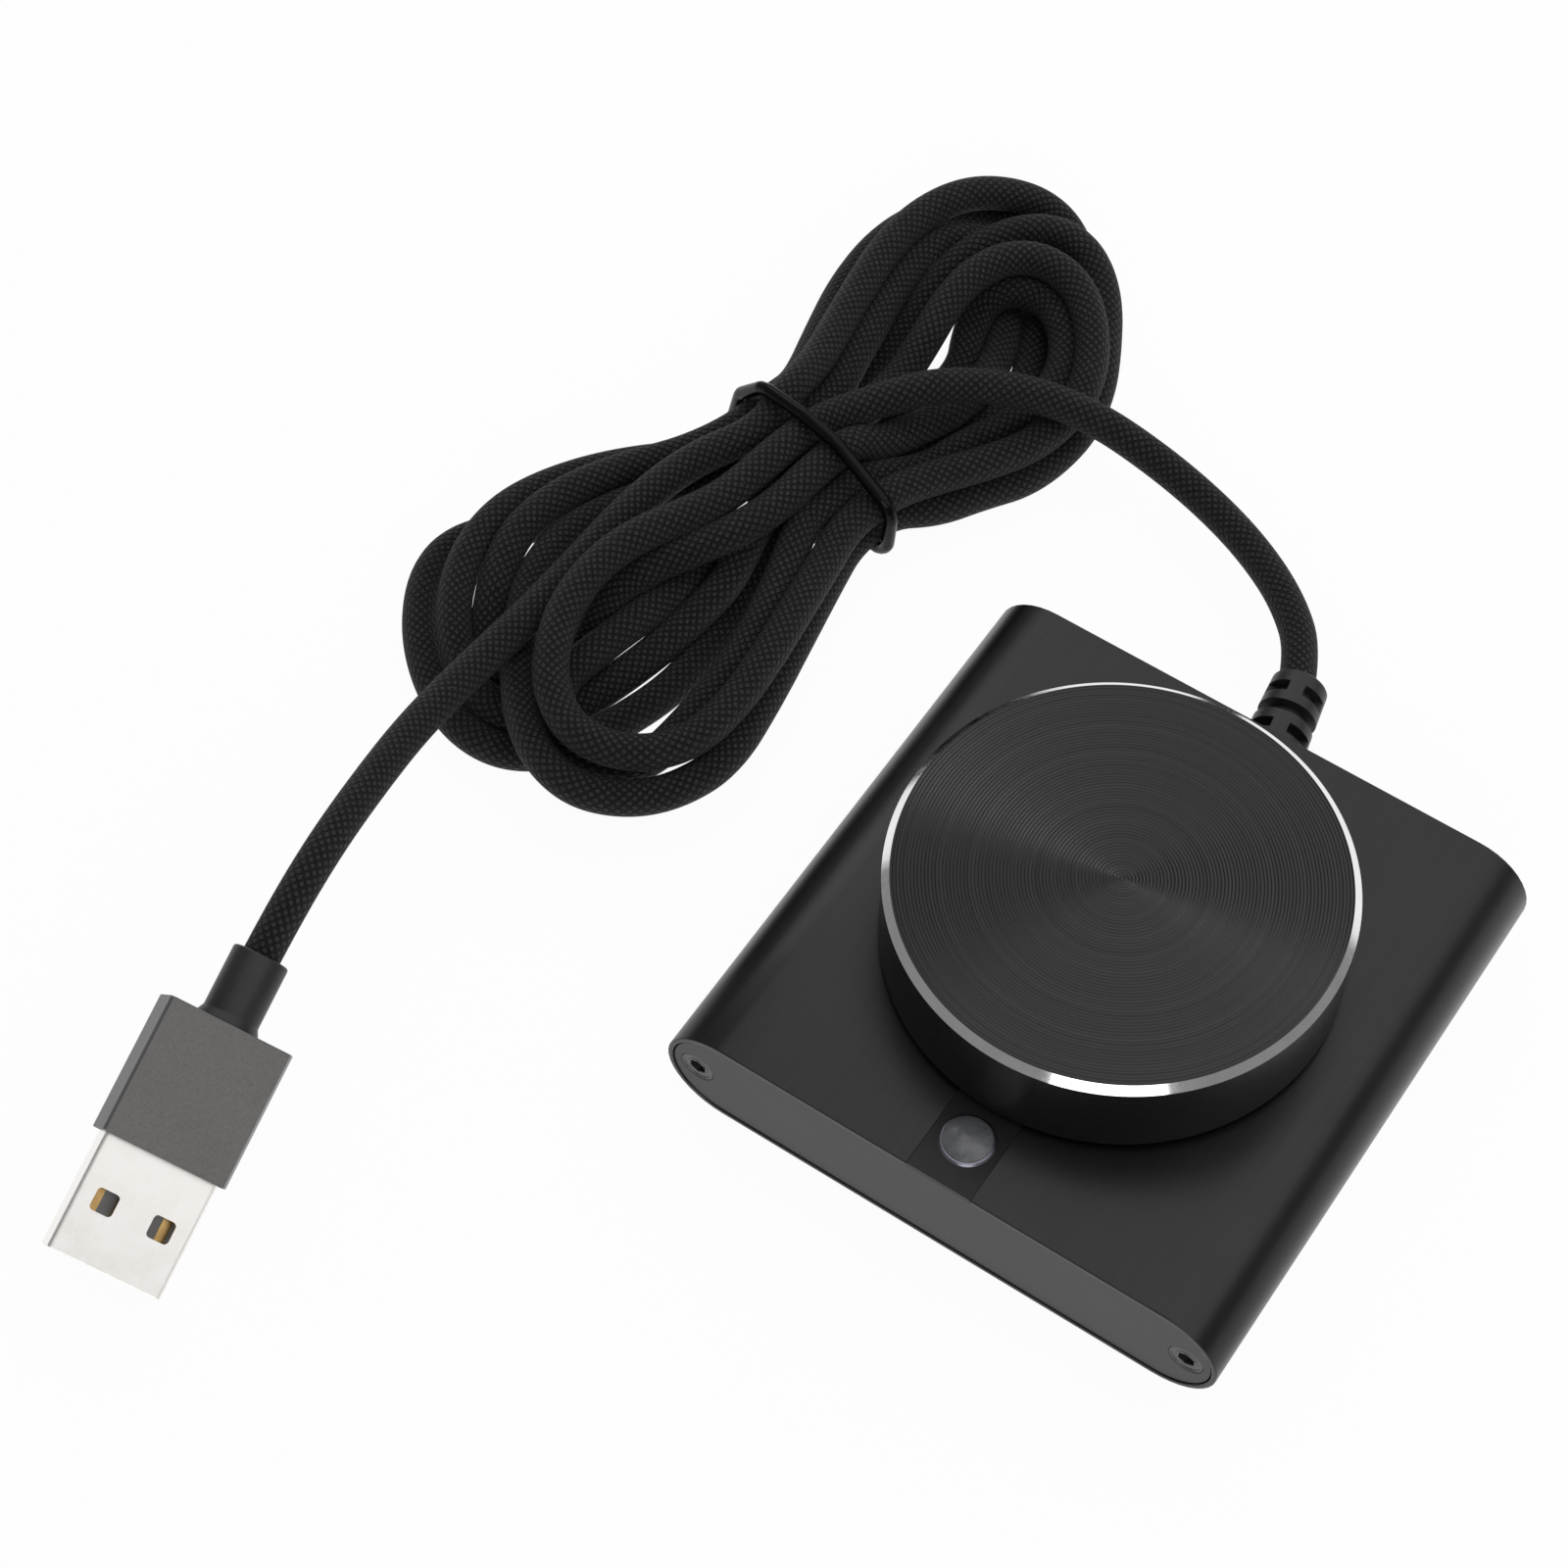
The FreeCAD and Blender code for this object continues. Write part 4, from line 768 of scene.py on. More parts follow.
@dataclass
class Case:
    """The extruded case with its feet, screws and light."""

    width: float = 62.0
    depth: float = 61.6
    height: float = 12.8
    lift: float = 1.0
    rim: float = 0.6
    edge: float = 0.14
    notch_half: float = 3.6
    notch_end: float = -16.8
    screw_across: float = 27.6
    screw_face: float = 30.65
    socket: float = 0.82
    screw_head: tuple[tuple[float, float], ...] = (
        (1.16, 0.08), (1.20, 0.12), (1.60, 0.12), (1.64, 0.06), (1.80, 0.06), (1.86, 0.12),
        (1.86, 0.30), (1.0, 0.95), (1.0, 5.8), (0.8, 6.0), (0.0, 6.0),
    )
    foot_radius: float = 4.0
    foot_edge: float = 0.25
    dome_along: float = -25.6
    dome_radius: float = 2.45
    dome_foot: float = 0.32
    dome_rise: float = 0.80
    dome_stem: tuple[tuple[float, float], ...] = (
        (2.48, 11.5), (3.3, 11.5), (3.3, 10.8), (1.6, 10.8), (1.6, 8.1), (0.0, 8.1),
    )
    foot_places: tuple[tuple[str, float, float], ...] = (
        ("foot_front_left", -21.0, -23.0),
        ("foot_front_right", 21.0, -23.0),
        ("foot_rear_left", -21.0, 23.0),
        ("foot_rear_right", 21.0, 23.0),
    )

    @property
    def middle(self) -> float:
        """The height of the case's middle."""
        return self.lift + self.height / 2.0

    def tube(self) -> bpy.types.Object:
        """Build the tube: an oval carried along Y, with rounded rims and the slide's notch.

        Rows run back along the outside, over the rear rim, forward along the inside and over
        the front rim.  Row i is the oval moved inwards by inset_i and set at y_i.
        """
        end = self.depth / 2.0
        outside = [(-end, 0.0, self.edge), (self.notch_end, 0.0, 0.0), (end, 0.0, self.edge)]
        inside = [
            (end, self.rim, self.edge),
            (self.notch_end, self.rim, 0.0),
            (-end, self.rim, self.edge),
        ]
        start = (-end, self.rim / 2.0, 0.0)
        rows = rounded([start, *outside, *inside, start], 4)[:-1]
        column = oval(self.width / 2.0, self.height / 2.0, 0.0)
        unit = oval(self.width / 2.0, self.height / 2.0, 1.0)
        top = np.flatnonzero(column[:, 1] > 0.0)
        right = int(top[column[top, 0] > 0.0][0])
        left = int(top[column[top, 0] < 0.0][-1])
        for line in (column, unit):
            line[[right, left], 0] = self.notch_half, -self.notch_half
        section = column + rows[:, 1, None, None] * (unit - column)
        count = len(column)
        along = np.repeat(rows[:, :1], count, axis=1)
        grid = np.stack([section[..., 0], along, section[..., 1] + self.middle], axis=-1)
        span = np.concatenate([np.arange(left, count), np.arange(0, right)])
        opened = np.zeros((len(rows), count), bool)
        front = rows[:, 0] <= self.notch_end + TOUCH
        opened[np.ix_(front & np.roll(front, -1), span)] = True
        shell = Shell()
        index = shell.patch(grid, wrap=True, loop=True, keep=~opened)
        self._close_notch(shell, index, rows, span, (right, left))
        piece = shell.build("case_tube", ["case_metal"], 30.0)
        return settle(piece, "housing", "case_metal", "housing_shell")

    def _close_notch(
        self,
        shell: Shell,
        index: np.ndarray,
        rows: np.ndarray,
        span: np.ndarray,
        sides: tuple[int, int],
    ) -> None:
        """Add the two side walls and the back wall of the notch.

        Args:
            shell: The mesh that the walls are added to.
            index: The mesh's points by row and column.
            rows: The place along Y and the inset of each row.
            span: The columns over the notch.
            sides: The columns of its right and its left side.
        """
        back = np.flatnonzero(np.abs(rows[:, 0] - self.notch_end) < TOUCH)
        outer, inner = int(back[0]), int(back[-1])
        ring = [*range(inner, len(rows)), *range(0, outer + 1)]
        for side in sides:
            shell.face(index[ring, side].tolist())
        for step in span:
            pair = [step, (step + 1) % index.shape[1]]
            shell.face([*index[outer, pair].tolist(), *index[inner, pair[::-1]].tolist()])

    def screws(self, side: int, node: str) -> None:
        """Build the two countersunk socket screws of one end.

        The head is turned from a profile whose inner rows follow a hexagon: the radius
        there is the apothem over the cosine of the angle from the nearest flat.

        Args:
            side: -1 for the front and 1 for the rear.
            node: The node that the screws stand for.
        """
        angle = smooth_turn(72)
        apart = np.mod(angle + TURN / 12.0, TURN / 6.0) - TURN / 12.0
        hexagon = self.socket / np.cos(apart)
        sunk = [(0.0, 0.75), (hexagon, 0.70), (hexagon, 0.13), (hexagon + 0.06, 0.08)]
        shell = Shell()
        for across in (-self.screw_across, self.screw_across):
            grid = [
                np.stack(
                    [
                        across + radius * np.cos(angle),
                        np.full_like(angle, side * (self.screw_face - depth)),
                        self.middle + radius * np.sin(angle),
                    ],
                    axis=-1,
                )
                for radius, depth in [*sunk, *self.screw_head]
            ]
            shell.patch(np.array(grid), wrap=True)
        piece = shell.build(node.replace("screws", "socket_screws"), ["screw_steel"], 28.0)
        settle(piece, "housing", "screw_steel", node)

    def feet(self) -> None:
        """Build the four rubber feet, each turned with a rounded lower edge."""
        wide = self.foot_radius
        corners = [(0.0, 0.0, 0.0), (wide, 0.0, self.foot_edge), (wide, self.lift, 0.0)]
        profile = rounded([*corners, (0.0, self.lift, 0.0)])
        for node, across, along in self.foot_places:
            shell = Shell()
            shell.patch(lathe(profile, 64, (across, along, 0.0)), wrap=True)
            piece = shell.build(node.replace("foot", "rubber_foot"), ["foot_rubber"])
            settle(piece, "housing", "foot_rubber", node)

    def light(self) -> None:
        """Build the domed light: a cap, a clear rim round its foot, a flange and a stem.

        The cap is part of a ball of radius (foot^2 + rise^2) / (2 rise).
        """
        top = self.lift + self.height
        wide, base, rise = self.dome_radius, top + self.dome_foot, self.dome_rise
        ball = (wide**2 + rise**2) / (2.0 * rise)
        radius = wide * np.linspace(0.0, 1.0, 20)
        height = np.sqrt(ball**2 - radius**2) - (ball - rise)
        cap = np.stack([radius, base + height], axis=1)
        edge = [(wide, base, 0.0), (wide + 0.02, base - 0.1, 0.0), (2.62, base - 0.12, 0.1)]
        rim = rounded([*edge, (2.80, top, 0.0), (2.48, top - 0.01, 0.0)], 4)[1:]
        profile = np.vstack([cap, rim, self.dome_stem])
        slots = np.zeros((len(profile) - 1, 1), int)
        slots[len(cap) - 1 : len(cap) + len(rim) - 1] = 1
        shell = Shell()
        shell.patch(lathe(profile, 96, (0.0, self.dome_along, 0.0)), wrap=True, slot=slots)
        piece = shell.build("light_dome", ["lens_plastic", "lens_rim"], 40.0)
        settle(piece, "housing", "lens_plastic", "light_lens")

    def build(self) -> None:
        """Build the case's pieces."""
        self.tube()
        self.screws(-1, "front_screws")
        self.screws(1, "rear_screws")
        self.feet()
        self.light()


# ---------------------------------------------------------------------------------------
# Knob
# ---------------------------------------------------------------------------------------


@dataclass
class Knob:
    """The turned knob cap with its spun face and bright cut edge."""

    radius: float = 22.9
    base: float = 14.5
    height: float = 10.8
    cut: float = 0.75
    wall: float = 1.4
    top: float = 2.0
    segments: int = 256
    pitch: float = 0.34
    groove: float = 0.050

    def face(self, high: float) -> np.ndarray:
        """Return the face's profile from the cut edge to the middle.

        Rings of one pitch lie side by side: the height is high - groove (1 - cos(2 pi r /
        pitch)) / 2, sampled four times in each ring.
        """
        outer = self.radius - self.cut - 0.04
        radius = np.arange(outer, self.pitch / 8.0, -self.pitch / 4.0)
        wave = (1.0 - np.cos(TURN * (outer - radius) / self.pitch)) / 2.0
        flat = np.stack([radius, high - 0.01 - self.groove * wave], axis=1)
        return np.vstack([flat, [(0.0, high - 0.01)]])

    def build(self) -> None:
        """Turn the cap's closed profile; the cut edge and the face have their own slots."""
        high = self.base + self.height
        bore, wide = self.radius - self.wall, self.radius
        ceiling = high - self.top
        side = rounded(
            [
                (bore, ceiling, 0.0),
                (bore, self.base, 0.12),
                (wide - 0.25, self.base, 0.1),
                (wide, self.base + 0.3, 0.15),
                (wide, high - self.cut, 0.0),
            ],
            4,
        )
        face = self.face(high)
        inner = [(0.0, ceiling), (bore, ceiling)]
        profile = np.vstack([side, [(wide - self.cut, high)], face, inner])
        slots = np.zeros((len(profile) - 1, 1), int)
        slots[len(side) - 1] = 1
        slots[len(side) : len(side) + len(face)] = 2
        shell = Shell()
        shell.patch(lathe(profile, self.segments, KNOB_CENTRE), wrap=True, slot=slots)
        piece = shell.build("knob_shell", ["knob_metal", "knob_cut", "knob_face"], 42.0)
        settle(piece, "knob", "knob_metal", "knob_cap")


# ---------------------------------------------------------------------------------------
# Lead
# ---------------------------------------------------------------------------------------

# The cord's route in millimetres: the free run from the strain relief, the turns of the
# hank in the order in which the cord runs through them, and the free run to the plug.
LEAD_RUN: tuple[Point, ...] = (
    (-0.5, 39.0, 7.4), (-2.7, 45.4, 6.7), (-7.6, 50.8, 5.9), (-14.0, 55.0, 5.2),
    (-21.1, 57.8, 5.1), (-28.8, 58.9, 6.4), (-36.5, 57.8, 9.6), (-44.1, 54.8, 12.0),
    (-51.1, 50.1, 12.8), (-55.5, 45.1, 12.1),
)
HANK_TURNS: tuple[tuple[Point, ...], ...] = (
    (
        (-59.9, 40.1, 10.8), (-61.0, 33.9, 11.6), (-62.2, 25.8, 11.5), (-64.3, 20.6, 12.0),
        (-66.7, 16.0, 12.3), (-68.3, 10.6, 12.2), (-68.1, 4.9, 12.1), (-66.6, -0.0, 11.8),
        (-63.8, -4.6, 11.1), (-58.6, -7.5, 10.3), (-52.2, -5.9, 10.0), (-48.4, -1.1, 9.7),
        (-47.6, 5.3, 9.6), (-48.1, 12.1, 9.3), (-49.1, 19.1, 8.8), (-50.2, 26.2, 8.0),
    ),
    (
        (-50.9, 31.6, 8.2), (-49.5, 37.4, 8.3), (-47.1, 42.0, 7.7), (-43.3, 47.2, 7.5),
        (-40.4, 52.7, 6.9), (-39.3, 59.3, 6.9), (-40.4, 64.6, 7.5), (-43.1, 69.1, 8.4),
        (-46.9, 72.5, 9.3), (-51.7, 73.4, 9.8), (-55.5, 71.4, 9.9), (-57.6, 67.5, 9.5),
        (-58.1, 62.8, 9.0), (-57.7, 58.5, 8.1), (-57.6, 54.5, 6.8), (-57.6, 50.6, 6.3),
    ),
    (
        (-59.9, 40.0, 7.2), (-61.7, 33.6, 7.9), (-59.8, 30.1, 7.8), (-58.8, 24.3, 7.2),
        (-58.1, 19.7, 6.1), (-58.8, 15.4, 5.1), (-59.8, 11.1, 4.0), (-61.3, 6.2, 3.2),
        (-63.2, 0.9, 2.5), (-65.5, -3.8, 2.4), (-69.7, -6.1, 2.8), (-74.3, -5.0, 3.7),
        (-78.5, -1.9, 4.6), (-81.9, 3.0, 5.3), (-83.6, 8.5, 5.7), (-83.6, 13.6, 5.8),
        (-82.4, 18.4, 5.2), (-79.8, 23.6, 4.5), (-76.3, 28.4, 3.8), (-71.9, 32.8, 3.2),
    ),
    (
        (-69.1, 36.5, 3.2), (-67.9, 42.5, 3.1), (-64.0, 48.5, 2.0), (-62.9, 54.0, 2.0),
        (-62.6, 60.8, 2.2), (-62.3, 66.2, 3.9), (-61.3, 71.0, 6.2), (-58.3, 76.3, 7.3),
        (-54.3, 79.4, 7.5), (-49.4, 79.2, 6.7), (-45.2, 75.9, 5.1), (-41.9, 70.3, 4.3),
        (-39.4, 64.9, 3.8), (-38.2, 58.6, 3.4), (-39.6, 51.0, 3.4), (-43.0, 46.0, 3.7),
        (-45.7, 41.4, 3.9),
    ),
    (
        (-49.7, 37.9, 4.4), (-51.0, 32.1, 4.1), (-50.2, 27.2, 4.3), (-48.5, 18.8, 5.1),
        (-46.8, 10.2, 5.6), (-45.6, 1.1, 5.9), (-47.6, -5.0, 6.3), (-51.1, -9.0, 6.6),
        (-56.2, -11.2, 7.0), (-61.6, -10.0, 7.2), (-66.4, -6.5, 7.1), (-69.8, -2.0, 6.6),
        (-72.6, 2.2, 6.1), (-75.1, 6.8, 6.0), (-76.2, 11.3, 5.8), (-75.8, 16.1, 5.9),
        (-73.6, 21.1, 5.9), (-70.4, 26.0, 5.9), (-67.3, 29.7, 5.9),
    ),
    (
        (-64.7, 35.5, 6.6), (-63.4, 41.4, 6.8), (-62.6, 47.0, 5.9), (-63.8, 52.8, 5.6),
        (-64.8, 58.9, 5.3), (-65.8, 65.4, 4.9), (-65.8, 71.3, 4.7), (-63.6, 74.9, 4.4),
        (-60.9, 75.9, 3.7), (-57.4, 74.8, 2.9), (-54.4, 70.3, 2.3), (-51.9, 65.0, 2.7),
        (-50.4, 58.5, 4.2), (-50.5, 52.5, 5.6), (-52.1, 47.4, 7.0), (-53.6, 42.9, 8.3),
    ),
    (
        (-55.8, 39.4, 10.8), (-56.7, 32.8, 11.3), (-57.2, 28.8, 10.9), (-59.0, 23.0, 10.8),
        (-61.9, 19.0, 9.9), (-64.7, 15.5, 8.8), (-66.7, 12.8, 7.3), (-67.3, 9.7, 5.3),
        (-66.9, 5.9, 3.2), (-67.5, 1.6, 2.1), (-70.0, -1.1, 1.9), (-72.9, -1.6, 2.2),
        (-75.9, 0.4, 3.2), (-77.9, 4.1, 5.1), (-79.3, 7.8, 6.2), (-80.1, 11.6, 6.8),
        (-79.7, 15.8, 7.0), (-78.2, 20.3, 7.0), (-75.3, 25.4, 6.8), (-71.3, 30.7, 6.6),
    ),
    (
        (-68.3, 36.0, 7.2), (-67.0, 41.9, 7.4), (-66.8, 46.2, 5.8), (-69.4, 54.8, 3.9),
        (-71.2, 62.1, 3.1), (-71.7, 69.2, 2.6), (-70.4, 75.0, 2.5), (-67.4, 79.7, 2.3),
        (-62.9, 81.9, 2.2), (-58.0, 80.4, 2.1), (-53.9, 76.4, 2.0), (-50.9, 71.6, 2.0),
        (-48.7, 66.5, 2.0), (-47.0, 61.4, 2.0), (-47.6, 56.1, 2.0), (-49.4, 51.4, 2.3),
        (-51.3, 45.7, 3.4),
    ),
    (
        (-57.6, 39.5, 5.0), (-58.1, 33.1, 5.8), (-56.7, 29.0, 5.1), (-56.8, 25.1, 3.9),
        (-56.8, 20.9, 2.9), (-56.5, 16.8, 2.2), (-56.6, 11.7, 2.0), (-57.1, 6.4, 2.0),
        (-59.0, 0.5, 2.0), (-61.5, -5.0, 2.0), (-66.0, -8.9, 2.0), (-71.5, -9.5, 2.0),
        (-77.2, -7.2, 2.0), (-82.2, -3.1, 2.1), (-85.7, 1.7, 2.1), (-87.3, 6.3, 2.1),
        (-86.7, 10.3, 2.0), (-83.9, 13.9, 2.0), (-80.6, 17.2, 2.0), (-77.1, 21.8, 2.1),
        (-74.3, 25.6, 2.0), (-70.5, 29.6, 2.0), (-66.8, 31.7, 2.4),
    ),
    (
        (-65.6, 35.8, 3.0), (-64.1, 41.8, 3.1), (-60.3, 45.0, 2.1), (-57.7, 50.4, 2.0),
        (-55.0, 54.8, 2.0), (-54.2, 60.4, 2.2), (-56.1, 64.6, 3.4), (-56.2, 68.0, 5.4),
        (-53.6, 70.6, 6.6), (-49.0, 70.9, 6.4), (-44.8, 67.2, 5.8), (-43.0, 61.4, 5.4),
        (-44.3, 54.8, 5.2), (-47.2, 49.4, 5.3), (-49.1, 43.4, 5.4),
    ),
    (
        (-53.6, 38.9, 7.0), (-54.2, 32.2, 8.0), (-55.1, 29.3, 8.2), (-53.5, 24.0, 7.7),
        (-52.4, 18.8, 7.0), (-51.4, 13.0, 6.4), (-51.4, 7.3, 6.0), (-51.8, 1.5, 5.5),
        (-52.6, -3.4, 5.1), (-55.7, -6.3, 5.2), (-59.7, -6.8, 5.5), (-63.7, -4.5, 5.8),
        (-65.4, -0.9, 6.3), (-64.8, 3.1, 6.4), (-63.9, 7.8, 6.2), (-62.9, 12.9, 5.6),
        (-62.2, 18.3, 4.7), (-61.3, 24.3, 3.4), (-60.1, 29.8, 1.8),
    ),
    (
        (-55.2, 33.9, 2.1), (-54.0, 39.6, 2.5), (-48.6, 42.3, 2.0), (-45.9, 47.8, 2.0),
        (-42.7, 52.9, 2.0), (-41.6, 59.4, 2.0), (-43.1, 66.0, 2.0), (-46.1, 72.3, 2.0),
        (-49.7, 78.4, 2.2), (-53.1, 82.9, 2.7), (-57.6, 84.3, 4.2), (-61.9, 82.4, 5.9),
        (-65.7, 78.7, 7.0), (-68.0, 73.3, 7.3), (-68.6, 66.6, 7.5), (-67.6, 59.2, 7.7),
        (-66.4, 52.7, 8.3), (-65.3, 47.0, 9.2),
    ),
    (
        (-65.0, 41.3, 10.7), (-64.7, 35.5, 10.1),
    ),
)
TAIL_RUN: tuple[Point, ...] = (
    (-68.8, 28.2, 10.0), (-70.6, 19.6, 9.9), (-70.9, 10.7, 9.8), (-71.4, 1.8, 9.9),
    (-72.2, -7.4, 10.4), (-71.9, -16.6, 12.4), (-70.4, -25.7, 15.0), (-68.6, -35.2, 17.3),
    (-67.2, -44.1, 16.9), (-66.5, -50.5, 14.7),
)


@dataclass
class StrainRelief:
    """The slotted rubber boot where the cord leaves the case."""

    root: Point = (1.0, 30.65, 7.4)
    lean: float = 10.0
    length: float = 10.7
    first: float = 3.45
    last: float = 3.0
    core: float = 2.0
    grooves: tuple[tuple[float, float], ...] = ((0.2, 1.3), (5.2, 6.4))
    slots: tuple[tuple[float, float], ...] = ((2.65, 3.85), (7.75, 8.95))
    slot_half: float = 27.0
    flank: float = 0.08
    lip: float = 0.35

    def _band(self, value: np.ndarray, low: float, high: float) -> np.ndarray:
        """Return 1 between low and high and 0 outside, with straight flanks."""
        rise = np.clip((value - low) / self.flank + 0.5, 0.0, 1.0)
        fall = np.clip((high - value) / self.flank + 0.5, 0.0, 1.0)
        return np.minimum(rise, fall)

    def build(self) -> bpy.types.Object:
        """Build the boot: a taper whose radius drops to the core inside each cut.

        The radius at (s, a) is taper(s) - (taper(s) - core) mask(s, a), where the mask is 1
        in the ring grooves and in four windows round each slotted ring.
        """
        along = np.linspace(0.0, self.length, 231)[:, None]
        angle = smooth_turn(144)[None, :]
        taper = self.first + (self.last - self.first) * along / self.length
        taper = taper - 0.3 * np.clip((along - self.length + self.lip) / self.lip, 0.0, 1.0) ** 2
        mask = np.zeros((along.shape[0], angle.shape[1]))
        for low, high in self.grooves:
            mask = np.maximum(mask, self._band(along, low, high))
        apart = np.abs(np.mod(angle, TURN / 4.0) - TURN / 8.0)
        window = np.clip((math.radians(self.slot_half) - apart) / 0.03 + 0.5, 0.0, 1.0)
        for low, high in self.slots:
            mask = np.maximum(mask, self._band(along, low, high) * window)
        radius = (taper - (taper - self.core) * mask)[..., None]
        turn = math.radians(self.lean)
        way = np.array([-math.sin(turn), math.cos(turn), 0.0])
        side = np.array([math.cos(turn), math.sin(turn), 0.0])
        angle = angle[..., None]
        spread = side * (radius * np.cos(angle)) + UP * (radius * np.sin(angle))
        grid = np.array(self.root) + way * along[..., None] + spread
        shell = Shell()
        shell.patch(np.vstack([hub(grid[:1]), grid, hub(grid[-1:])]), wrap=True)
        piece = shell.build("cord_boot", ["boot_rubber"], 50.0)
        return settle(piece, "housing", "boot_rubber", "strain_relief")


@dataclass
class Lead:
    """The braided cord, all of it one piece from the strain relief to the plug."""

    radius: float = CORD_RADIUS
    around: int = 24
    step: float = 0.45
    thin: int = 4

    def _line(self) -> np.ndarray:
        """Return points of the smooth spline along the route, in metres."""
        turns = [point for turn in HANK_TURNS for point in turn]
        route = np.array([*LEAD_RUN, *turns, *TAIL_RUN]) * MM
        curve = bpy.data.curves.new("cord_line", "CURVE")
        curve.dimensions = "3D"
        spline = curve.splines.new("NURBS")
        spline.points.add(len(route) - 1)
        spline.points.foreach_set("co", np.hstack([route, np.ones((len(route), 1))]).ravel())
        spline.order_u = 3
        spline.use_endpoint_u = True
        spline.resolution_u = 24
        holder = bpy.data.objects.new("cord_line", curve)
        bpy.context.scene.collection.objects.link(holder)
        mesh = bpy.data.meshes.new_from_object(holder)
        line = np.zeros(len(mesh.vertices) * 3)
        mesh.vertices.foreach_get("co", line)
        bpy.data.objects.remove(holder)
        bpy.data.curves.remove(curve)
        bpy.data.meshes.remove(mesh)
        return line.reshape(-1, 3)

    def run(self) -> tuple[np.ndarray, float]:
        """Return the centre line at equal steps in millimetres, and its length."""
        line = self._line() / MM
        runs = np.concatenate([[0.0], np.cumsum(np.linalg.norm(np.diff(line, axis=0), axis=1))])
        total = float(runs[-1])
        at = np.linspace(0.0, total, int(total / self.step))
        return np.stack([np.interp(at, runs, line[:, axis]) for axis in range(3)], 1), total

    def build(
        self, path: np.ndarray, total: float, grid: np.ndarray, with_pieces: list[Any]
    ) -> None:
        """Build the cord with a UV map in millimetres along and around it.

        Args:
            path: The centre line in millimetres.
            total: Its length.
            grid: The points of the cord's surface.
            with_pieces: The pieces that lie on the cord; not used.
        """
        along = np.linspace(0.0, total, len(path))
        across = np.linspace(0.0, TURN * self.radius, self.around + 1)
        shell = Shell()
        shell.patch(grid, uv=np.stack(np.meshgrid(along, across, indexing="ij"), axis=-1))
        shell.patch(np.stack([hub(grid[0]), grid[0]]))
        shell.patch(np.stack([grid[-1], hub(grid[-1])]))
        piece = shell.build("braided_cord", ["cord_braid"], 60.0)
        settle(piece, "housing", "cord_braid", "cord_lead", "cord_hank", "cord_tail")
        tuple(path[0] * MM)
        LOG.info("cord: %.0f mm long", total)


@dataclass
class Tie:
    """The rubber loop that holds the hank."""

    radius: float = 0.75
    across: float = -59.2
    along: float = 37.3
    turn: float = -12.6
    reach: float = 14.0
    gap: float = 0.03

    def build(self, cord: np.ndarray) -> bpy.types.Object:
        """Stretch a round section tight round the strands of the hank.

        The loop lies in an upright plane.  For each direction d round the hank its centre
        line is the strands' furthest point along d plus (radius + gap) d, so it bends over
        the outer strands and runs straight between them.

        Args:
            cord: The grid of the cord's surface points in millimetres.

        Returns:
            The loop.
        """
        turn = math.radians(self.turn)
        middle = np.array([self.across, self.along, 0.0])
        side = np.array([math.cos(turn), math.sin(turn), 0.0])
        normal = np.array([-math.sin(turn), math.cos(turn), 0.0])
        points = cord.reshape(-1, 3) - middle
        near = (np.abs(points @ normal) < self.radius) & (np.abs(points @ side) < self.reach)
        plane = np.stack([side, UP])
        flat = points[near] @ plane.T
        angle = smooth_turn(160)
        ways = np.stack([np.cos(angle), np.sin(angle)], axis=1)
        touch = flat[np.argmax(flat @ ways.T, axis=0)] + (self.radius + self.gap) * ways
        touch[:, 1] = np.maximum(touch[:, 1], self.radius)
        path = middle + touch @ plane
        out = ways @ plane
        around = smooth_turn(20)[None, :, None]
        section = out[:, None, :] * np.cos(around) + normal * np.sin(around)
        shell = Shell()
        shell.patch(path[:, None, :] + self.radius * section, wrap=True, loop=True)
        piece = shell.build("hank_loop", ["tie_rubber"], 60.0)
        return settle(piece, "housing", "tie_rubber", "hank_tie")


# ---------------------------------------------------------------------------------------
# Plug
# ---------------------------------------------------------------------------------------


